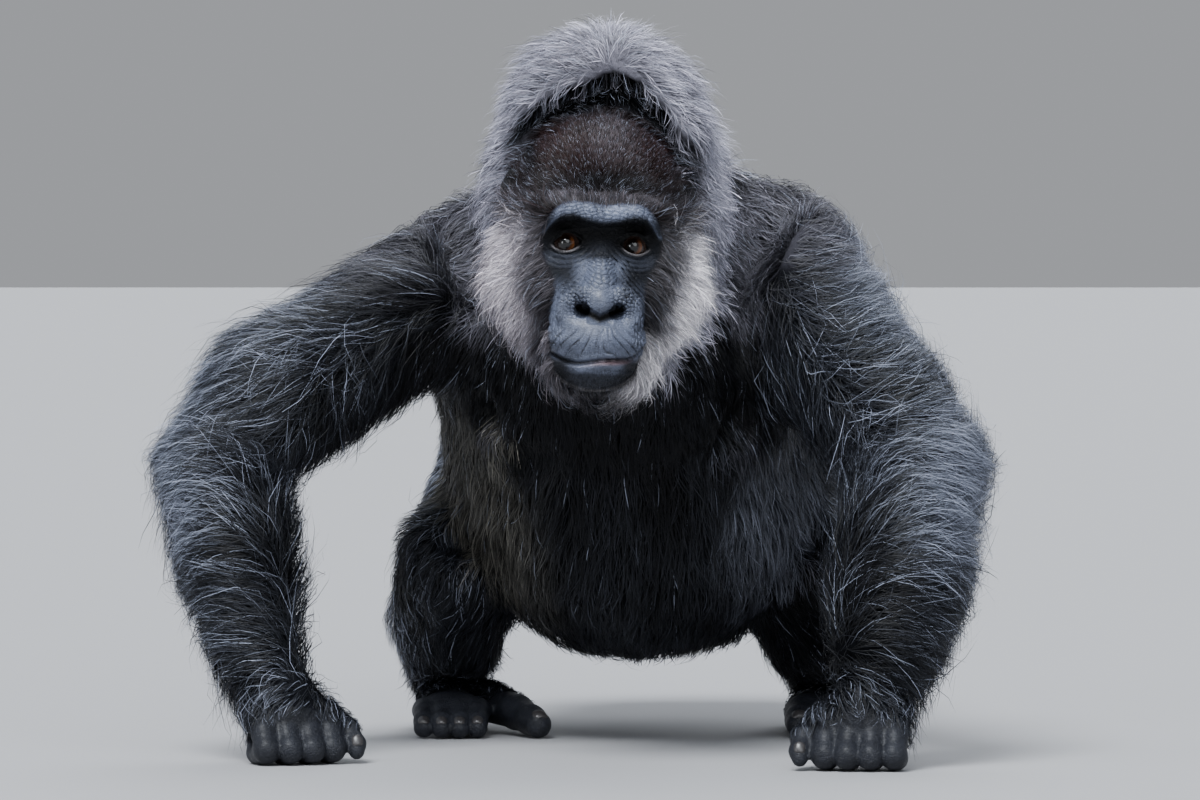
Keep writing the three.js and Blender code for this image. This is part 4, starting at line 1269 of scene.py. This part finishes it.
def drawEye(name, node):
    centre = middleOf(node)
    gaze = unit(np.array(eyePlan["gaze"]) @ headAxes)
    aside = unit(np.cross([0, 0, 1], gaze))
    above = np.cross(gaze, aside)
    rings = np.concatenate([np.linspace(0.0, 0.75, 46)[1:], np.linspace(0.75, math.pi, 30)[1:-1]])  # finer in front
    turns, rim = eyePlan["turns"], eyePlan["radius"]
    angle = np.arange(turns) * 2 * math.pi / turns
    points, colours = [centre + gaze * (rim + eyePlan["bulge"])], [tint["pupil"]]
    streak = 0.5 + 0.5 * np.sin(angle * 23 + 2 * np.sin(angle * 7)) * np.sin(angle * 11 + 1)
    lit = (0.65 + 0.6 * streak) * (0.12 + 2.2 * rise(np.cos(angle + 0.3), 0.1, 1.0))  # painted light within the iris, on its far side
    for a in rings:
        out, front = rim * math.sin(a), a < 1.5
        tall = rim * math.cos(a) + eyePlan["bulge"] * (1 - rise(np.array(out), *eyePlan["bulgeEdge"])) * front
        ring = centre + gaze * tall + out * (np.cos(angle)[:, None] * aside + np.sin(angle)[:, None] * above)
        outs = np.full(turns, out)
        inIris = (1 - rise(outs, eyePlan["iris"] - 0.7, eyePlan["iris"] + 0.5)) * front
        inPupil = (1 - rise(outs, eyePlan["pupil"] - 0.25, eyePlan["pupil"] + 0.3)) * front
        glow = blend(np.tile(tint["irisInner"], (turns, 1)), tint["irisOuter"], rise(outs, 4.2, 8.0)) * lit[:, None]
        tone = blend(np.tile(tint["eyeWhite"], (turns, 1)), tint["eyeDark"], 1 - 0.6 * rise(outs, 9, 12))
        tone = blend(blend(tone, glow, inIris), tint["pupil"], inPupil)
        points += list(ring)
        colours += list(tone)
    points.append(centre - gaze * rim)
    colours.append(tint["eyeDark"])
    last = 1 + (len(rings) - 1) * turns
    faces = [(0, 1 + j, 1 + (j + 1) % turns) for j in range(turns)]
    for a in range(1, last, turns):
        b = a + turns
        faces += [(a + j, b + j, b + (j + 1) % turns, a + (j + 1) % turns) for j in range(turns)]
    faces += [(last + (j + 1) % turns, last + j, len(points) - 1) for j in range(turns)]
    mesh = bpy.data.meshes.new(name)
    mesh.from_pydata([Vector(p) / 1000 for p in points], [], faces)
    mesh.polygons.foreach_set("use_smooth", np.ones(len(mesh.polygons), bool))
    paint(mesh, "marking", np.array(colours))
    bm = bmesh.new()
    bm.from_mesh(mesh)
    bmesh.ops.recalc_face_normals(bm, faces=bm.faces)
    bm.to_mesh(mesh)
    bm.free()
    return addObject(name, mesh)


eyeBalls = {side: drawEye("eye" + side.capitalize(), "eye_" + side) for side in sides}

# Nails, laid on the skin at the tips of the toes, thumbs and folded fingers

nailPlan = {"thick": 1.1, "lift": 0.35, "crown": 0.9, "across": 11, "along": 9}


def nailOn(bm, tip, forward, out, width, length):
    forward, out = unit(np.array(forward, float)), unit(np.array(out, float))
    forward = unit(forward - out * (forward @ out))
    side = np.cross(forward, out)
    across, along = nailPlan["across"], nailPlan["along"]
    grid = []
    for j in range(along):
        v = j / (along - 1) * 2 - 1
        narrow = math.sqrt(max(0.0, 1 - (0.86 * max(abs(v) - 0.35, 0) / 0.65) ** 2))
        for i in range(across):
            u = i / (across - 1) * 2 - 1
            grid.append(tip + side * u * width / 2 * narrow + forward * v * length / 2)
    top = np.array(grid)
    for _ in range(5):
        top = top - out * np.clip(skinDistance(top), -4, 4)[:, None] * 0.8
    v = np.repeat(np.linspace(-1, 1, along), across)
    u = np.tile(np.linspace(-1, 1, across), along)
    rim = 1 - np.maximum(np.abs(u), np.abs(v)) ** 6
    low = top - out * 0.9
    raised = nailPlan["lift"] + rim * nailPlan["thick"] * 0.5 + nailPlan["crown"] * (1 - u * u) * 0.5
    top = top + out * raised[:, None]
    low = low + out * (0.5 * rise(v, 0.6, 1.0))[:, None]
    above = [bm.verts.new(p / 1000) for p in top]
    below = [bm.verts.new(p / 1000) for p in low]
    for j in range(along - 1):
        for i in range(across - 1):
            a = j * across + i
            bm.faces.new((above[a], above[a + 1], above[a + across + 1], above[a + across]))
            bm.faces.new((below[a + across], below[a + across + 1], below[a + 1], below[a]))
    edge = [*range(across)] + [across * j + across - 1 for j in range(1, along)]
    edge += [across * (along - 1) + i for i in range(across - 2, -1, -1)]
    edge += [across * j for j in range(along - 2, 0, -1)]
    for a, b in zip(edge, edge[1:] + edge[:1]):
        bm.faces.new((above[b], above[a], below[a], below[b]))


def drawNails(limb, side):
    bm = bmesh.new()
    if limb == "foot":
        foot, f = footPlaces(side), feet[side]
        for place in (-1.5, -0.5, 0.5, 1.5):
            x, y = f["sole"][0] + place * feet["pitch"], f["sole"][1] - (58 - 6 * abs(place))
            nailOn(bm, np.array([foot[0] + x, foot[1] + y - 2.5, 19.0]), (0, -1, -0.75), (0, -0.75, 1), 11.5, 11)
        (ax, ay, _, _), (bx, by, bz, br) = f["hallux"][-2:]
        ahead = unit(np.array([bx - ax, by - ay, -3.0]))
        tip = np.array([foot[0] + bx, foot[1] + by, bz + br * 0.75]) + ahead * 5
        nailOn(bm, tip, ahead + [0, 0, -0.45], ahead * 0.45 + [0, 0, 1], 16, 14)
    else:
        at = handPlaces(side)[1]
        hx, hy = hands[side]["heading"]
        for place in (-1.5, -0.5, 0.5, 1.5):
            short = 5 if abs(place) > 1 else 0
            tip = np.array(at(-17 - short, place * hands["pitch"] * 0.94, 17.0))
            nailOn(bm, tip, (-hx * 0.5, -hy * 0.5, 1), (-hx, -hy, -0.5), 11, 11)
        nailOn(bm, np.array(at(27, 58, 19.0)), (hx, hy, -0.9), (hx * 0.8, hy * 0.8, 1), 11, 11)
    bmesh.ops.recalc_face_normals(bm, faces=bm.faces)
    for f in bm.faces:
        f.smooth = True
    mesh = bpy.data.meshes.new("nails" + limb.capitalize() + side.capitalize())
    bm.to_mesh(mesh)
    bm.free()
    return addObject(mesh.name, mesh)


nails = [drawNails(limb, side) for limb in ("hand", "foot") for side in sides]
print("eyes and nails drawn")

# Effects that more than one finish uses


def newGroup(name, inputs, outputs):
    group = bpy.data.node_groups.new(name, "ShaderNodeTree")
    for label, kind, value in inputs:
        socket = group.interface.new_socket(label, in_out="INPUT", socket_type="NodeSocket" + kind)
        socket.default_value = value
    for label, kind in outputs:
        group.interface.new_socket(label, in_out="OUTPUT", socket_type="NodeSocket" + kind)
    return group, group.nodes.new("NodeGroupInput"), group.nodes.new("NodeGroupOutput")


def feed(tree, node, inputs):  # each input gets a value, or a link where another node's output is given
    for name, value in inputs.items():
        if isinstance(value, bpy.types.NodeSocket):
            tree.links.new(value, node.inputs[name])
        else:
            node.inputs[name].default_value = value


def addNode(tree, kind, inputs, **settings):
    node = tree.nodes.new("ShaderNode" + kind)
    for name, value in settings.items():
        setattr(node, name, value)
    feed(tree, node, inputs)
    return node


def buildMottle():  # slow and fine patches that lighten and darken a colour
    group, given, out = newGroup(
        "mottle",
        [("Color", "Color", (0.5, 0.5, 0.5, 1)), ("Scale", "Float", 120.0), ("Strength", "Float", 0.3)],
        [("Color", "Color"), ("Mask", "Float")],
    )
    place = addNode(group, "TexCoord", {})
    noise = addNode(group, "TexNoise", {
        "Vector": place.outputs["Object"], "Scale": given.outputs["Scale"], "Detail": 5.0, "Roughness": 0.62})
    centred = addNode(group, "Math", {0: noise.outputs["Fac"], 1: 0.5}, operation="SUBTRACT")
    strong = addNode(
        group, "Math", {0: centred.outputs[0], 1: given.outputs["Strength"], 2: 1.0}, operation="MULTIPLY_ADD")
    tinted = addNode(
        group, "VectorMath", {0: given.outputs["Color"], "Scale": strong.outputs[0]}, operation="SCALE")
    feed(group, out, {"Color": tinted.outputs[0], "Mask": noise.outputs["Fac"]})
    return group


def buildGrain():  # fine plates with cracks between them, as on bare skin, horn and hair shafts
    group, given, out = newGroup(
        "grain",
        [("Scale", "Float", 400.0), ("Crack", "Float", 0.5), ("Lines", "Float", 0.0),
         ("Stretch", "Vector", (1, 1, 1))],
        [("Height", "Float"), ("Crease", "Float")],
    )

    def cells(vector, stretch, scale, edge):  # 0 in the cracks between cells, 1 on them
        spot = addNode(group, "VectorMath", {0: vector, 1: stretch}, operation="MULTIPLY").outputs[0]
        found = addNode(group, "TexVoronoi", {"Vector": spot, "Scale": scale}, feature="DISTANCE_TO_EDGE")
        crack = addNode(group, "MapRange", {"Value": found.outputs["Distance"], "From Max": edge},
                        interpolation_type="SMOOTHSTEP")
        return spot, crack.outputs["Result"]

    place = addNode(group, "TexCoord", {}).outputs["Object"]
    bent = addNode(group, "TexNoise", {"Vector": place, "Scale": 90.0, "Detail": 2.0}).outputs["Color"]
    mixed = addNode(group, "VectorMath", {0: bent, 1: (0.004, 0.004, 0.004), 2: place}, operation="MULTIPLY_ADD")
    spot, crease = cells(mixed.outputs[0], given.outputs["Stretch"], given.outputs["Scale"], 0.16)
    finer = addNode(group, "Math", {0: given.outputs["Scale"], 1: 3.1}, operation="MULTIPLY")
    fine = addNode(group, "TexNoise", {"Vector": spot, "Scale": finer.outputs[0], "Detail": 3.0})
    deep = addNode(group, "Math", {0: crease, 1: given.outputs["Crack"]}, operation="MULTIPLY")
    both = addNode(group, "Math", {0: fine.outputs["Fac"], 1: 0.45, 2: deep.outputs[0]}, operation="MULTIPLY_ADD")
    _, line = cells(mixed.outputs[0], (0.5, 1.1, 1.4), 210.0, 0.12)  # wider lines that cross knuckles and soles
    summed = addNode(
        group, "Math", {0: line, 1: given.outputs["Lines"], 2: both.outputs[0]}, operation="MULTIPLY_ADD")
    feed(group, out, {"Height": summed.outputs[0], "Crease": crease})
    return group


mottleGroup, grainGroup = buildMottle(), buildGrain()


def newMaterial(name, finish):  # colour from the painted markings, light and shade, patches and a grained surface
    material = bpy.data.materials.new(name)
    material.use_nodes = True
    tree = material.node_tree
    shader = tree.nodes["Principled BSDF"]
    patches, grain = (addNode(tree, "Group", {}, node_tree=group) for group in (mottleGroup, grainGroup))
    if "colour" in finish:
        colour = (*finish["colour"], 1)
    else:
        colour = addNode(tree, "Attribute", {}, attribute_name="marking").outputs["Color"]
    feed(tree, patches, {"Color": colour, "Scale": finish["patchScale"], "Strength": finish["patchStrength"]})
    feed(tree, grain, {"Scale": finish["grainScale"], "Crack": finish["crack"],
                       "Lines": finish.get("lines", 0.0), "Stretch": finish.get("stretch", (1, 1, 1))})
    darker = addNode(tree, "MapRange", {"Value": grain.outputs["Crease"], "To Min": 1 - finish["creaseDark"]})
    coloured = addNode(
        tree, "VectorMath", {0: patches.outputs["Color"], "Scale": darker.outputs["Result"]}, operation="SCALE")
    low, high = finish["roughness"]
    rough = addNode(tree, "MapRange", {"Value": patches.outputs["Mask"], "To Min": low, "To Max": high})
    relief = addNode(tree, "Bump", {
        "Height": grain.outputs["Height"], "Strength": finish["bump"], "Distance": finish["bumpDistance"]})
    feed(tree, shader, {"Base Color": coloured.outputs[0], "Roughness": rough.outputs["Result"],
                        "Normal": relief.outputs["Normal"], "Specular IOR Level": finish["specular"]})
    if "shine" in finish:  # where the skin is polished
        polish = addNode(tree, "Attribute", {}, attribute_name="shine")
        feed(tree, shader, {"Coat Weight": polish.outputs["Fac"], "Coat Roughness": finish["shine"]})
    return material


finishes = {
    "hair": dict(
        patchScale=260, patchStrength=0.5, grainScale=900, crack=0.1, creaseDark=0.1,
        roughness=(0.3, 0.5), bump=0.12, bumpDistance=0.0003, specular=0.16),
    "bareSkin": dict(
        patchScale=140, patchStrength=0.35, grainScale=620, crack=0.5, creaseDark=0.5, lines=0.8,
        roughness=(0.35, 0.55), bump=0.75, bumpDistance=0.0008, specular=0.16, shine=0.42),
    "underCoat": dict(
        patchScale=140, patchStrength=0.3, grainScale=500, crack=0.3, creaseDark=0.3,
        roughness=(0.85, 0.98), bump=0.2, bumpDistance=0.0005, specular=0.03),
    "eye": dict(
        patchScale=500, patchStrength=0.3, grainScale=1500, crack=0.1, creaseDark=0.1,
        roughness=(0.04, 0.1), bump=0.0, bumpDistance=0.0001, specular=0.5),
    "nail": dict(
        colour=(0.028, 0.026, 0.027), patchScale=220, patchStrength=0.6, grainScale=350, crack=0.2, creaseDark=0.15,
        stretch=(1, 0.2, 1), roughness=(0.25, 0.45), bump=0.3, bumpDistance=0.0004, specular=0.5),
    "plainFloor": dict(
        colour=(0.29, 0.29, 0.30), patchScale=2, patchStrength=0.03, grainScale=60, crack=0.1, creaseDark=0.0,
        roughness=(0.7, 0.8), bump=0.02, bumpDistance=0.0005, specular=0.2),
}
materials = {name: newMaterial(name, finish) for name, finish in finishes.items()}


def wear(piece, *names):
    piece.data.materials.clear()
    for name in names:
        piece.data.materials.append(materials[name])


wear(skin, "bareSkin", "underCoat")
corners = valuesOf(skinMesh.loops, "vertex_index", 1, np.int32)[:, 0]
starts = valuesOf(skinMesh.polygons, "loop_start", 1, np.int32)[:, 0]
skinMesh.polygons.foreach_set("material_index", (skinBare[corners[starts]] < 0.45).astype(np.int32))  # haired
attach(skin, "root")
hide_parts(*fleshNodes)
for name, piece in coats.items():
    wear(piece, "hair")
    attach(piece, "root")
for side, eye in eyeBalls.items():
    wear(eye, "eye")
    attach(eye, "root")
    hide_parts("eye_" + side)
for piece in nails:
    wear(piece, "nail")
    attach(piece, "root")
print("finishes given")

# The plain studio: a pale floor, a soft sky and large lamps

studio = {
    "floor": 40.0,  # from the middle to its edges, metres
    "sky": {"horizon": (0.72, 0.74, 0.78), "top": (0.85, 0.95, 1.1), "strength": 0.5},
    "lampColour": (0.93, 0.965, 1.0),
    "lamps": {  # where it shines from, strength, how soft in degrees
        "overhead": ((-0.25, -0.6, 1.0), 6.4, 26),
        "front": ((0.3, -1.0, 0.5), 1.8, 50),
        "behind": ((0.15, 0.8, 1.0), 2.2, 45),
    },
    "sideLight": {"spot": (-2.7, -2.4, 0.95), "aim": (0, -0.35, 0.4), "watts": 34, "across": 1.3},
    "camera": {"aim": (0, -0.04, -0.1505), "away": (0, -7.4974, 0.1963), "lens": 231.96},  # aim, from the eyes
}
reach = studio["floor"]
floorMesh = bpy.data.meshes.new("floor")
floorCorners = [(x * reach, y * reach, 0) for x, y in ((-1, -1), (1, -1), (1, 1), (-1, 1))]
floorMesh.from_pydata(floorCorners, [], [(0, 1, 2, 3)])
floor = addObject("floor", floorMesh)
wear(floor, "plainFloor")

world = bpy.data.worlds.new("softSky")
bpy.context.scene.world = world
world.use_nodes = True
tree = world.node_tree
upward = addNode(tree, "SeparateXYZ", {0: addNode(tree, "TexCoord", {}).outputs["Generated"]})
sky = addNode(tree, "ValToRGB", {"Fac": upward.outputs["Z"]})
for stop, spot, colour in zip(sky.color_ramp.elements, (0.05, 0.8), ("horizon", "top")):
    stop.position, stop.color = spot, (*studio["sky"][colour], 1)
feed(tree, tree.nodes["Background"], {"Color": sky.outputs["Color"], "Strength": studio["sky"]["strength"]})


def turnTo(item, way):
    item.rotation_euler = Vector(way).to_track_quat("-Z", "Y").to_euler()


def addLamp(name, kind, strength, spot, way):
    lamp = bpy.data.lights.new(name, kind)
    lamp.energy, lamp.color = strength, studio["lampColour"]
    holder = addObject(name, lamp)
    holder.location = spot
    turnTo(holder, way)
    return lamp


for name, (spot, strength, softness) in studio["lamps"].items():
    addLamp(name, "SUN", strength, Vector(spot) * 3, -Vector(spot)).angle = math.radians(softness)
plan = studio["sideLight"]
sideLamp = addLamp("sideLight", "AREA", plan["watts"], plan["spot"], Vector(plan["aim"]) - Vector(plan["spot"]))
sideLamp.shape, sideLamp.size = "DISK", plan["across"]

lens = bpy.data.cameras.new("camera")
lens.lens, lens.sensor_width, lens.clip_end = studio["camera"]["lens"], 36, 200
camera = addObject("camera", lens)
aim = Vector(eyes / 1000) + Vector(studio["camera"]["aim"])
camera.location = aim + Vector(studio["camera"]["away"])
turnTo(camera, aim - camera.location)
bpy.context.scene.camera = camera
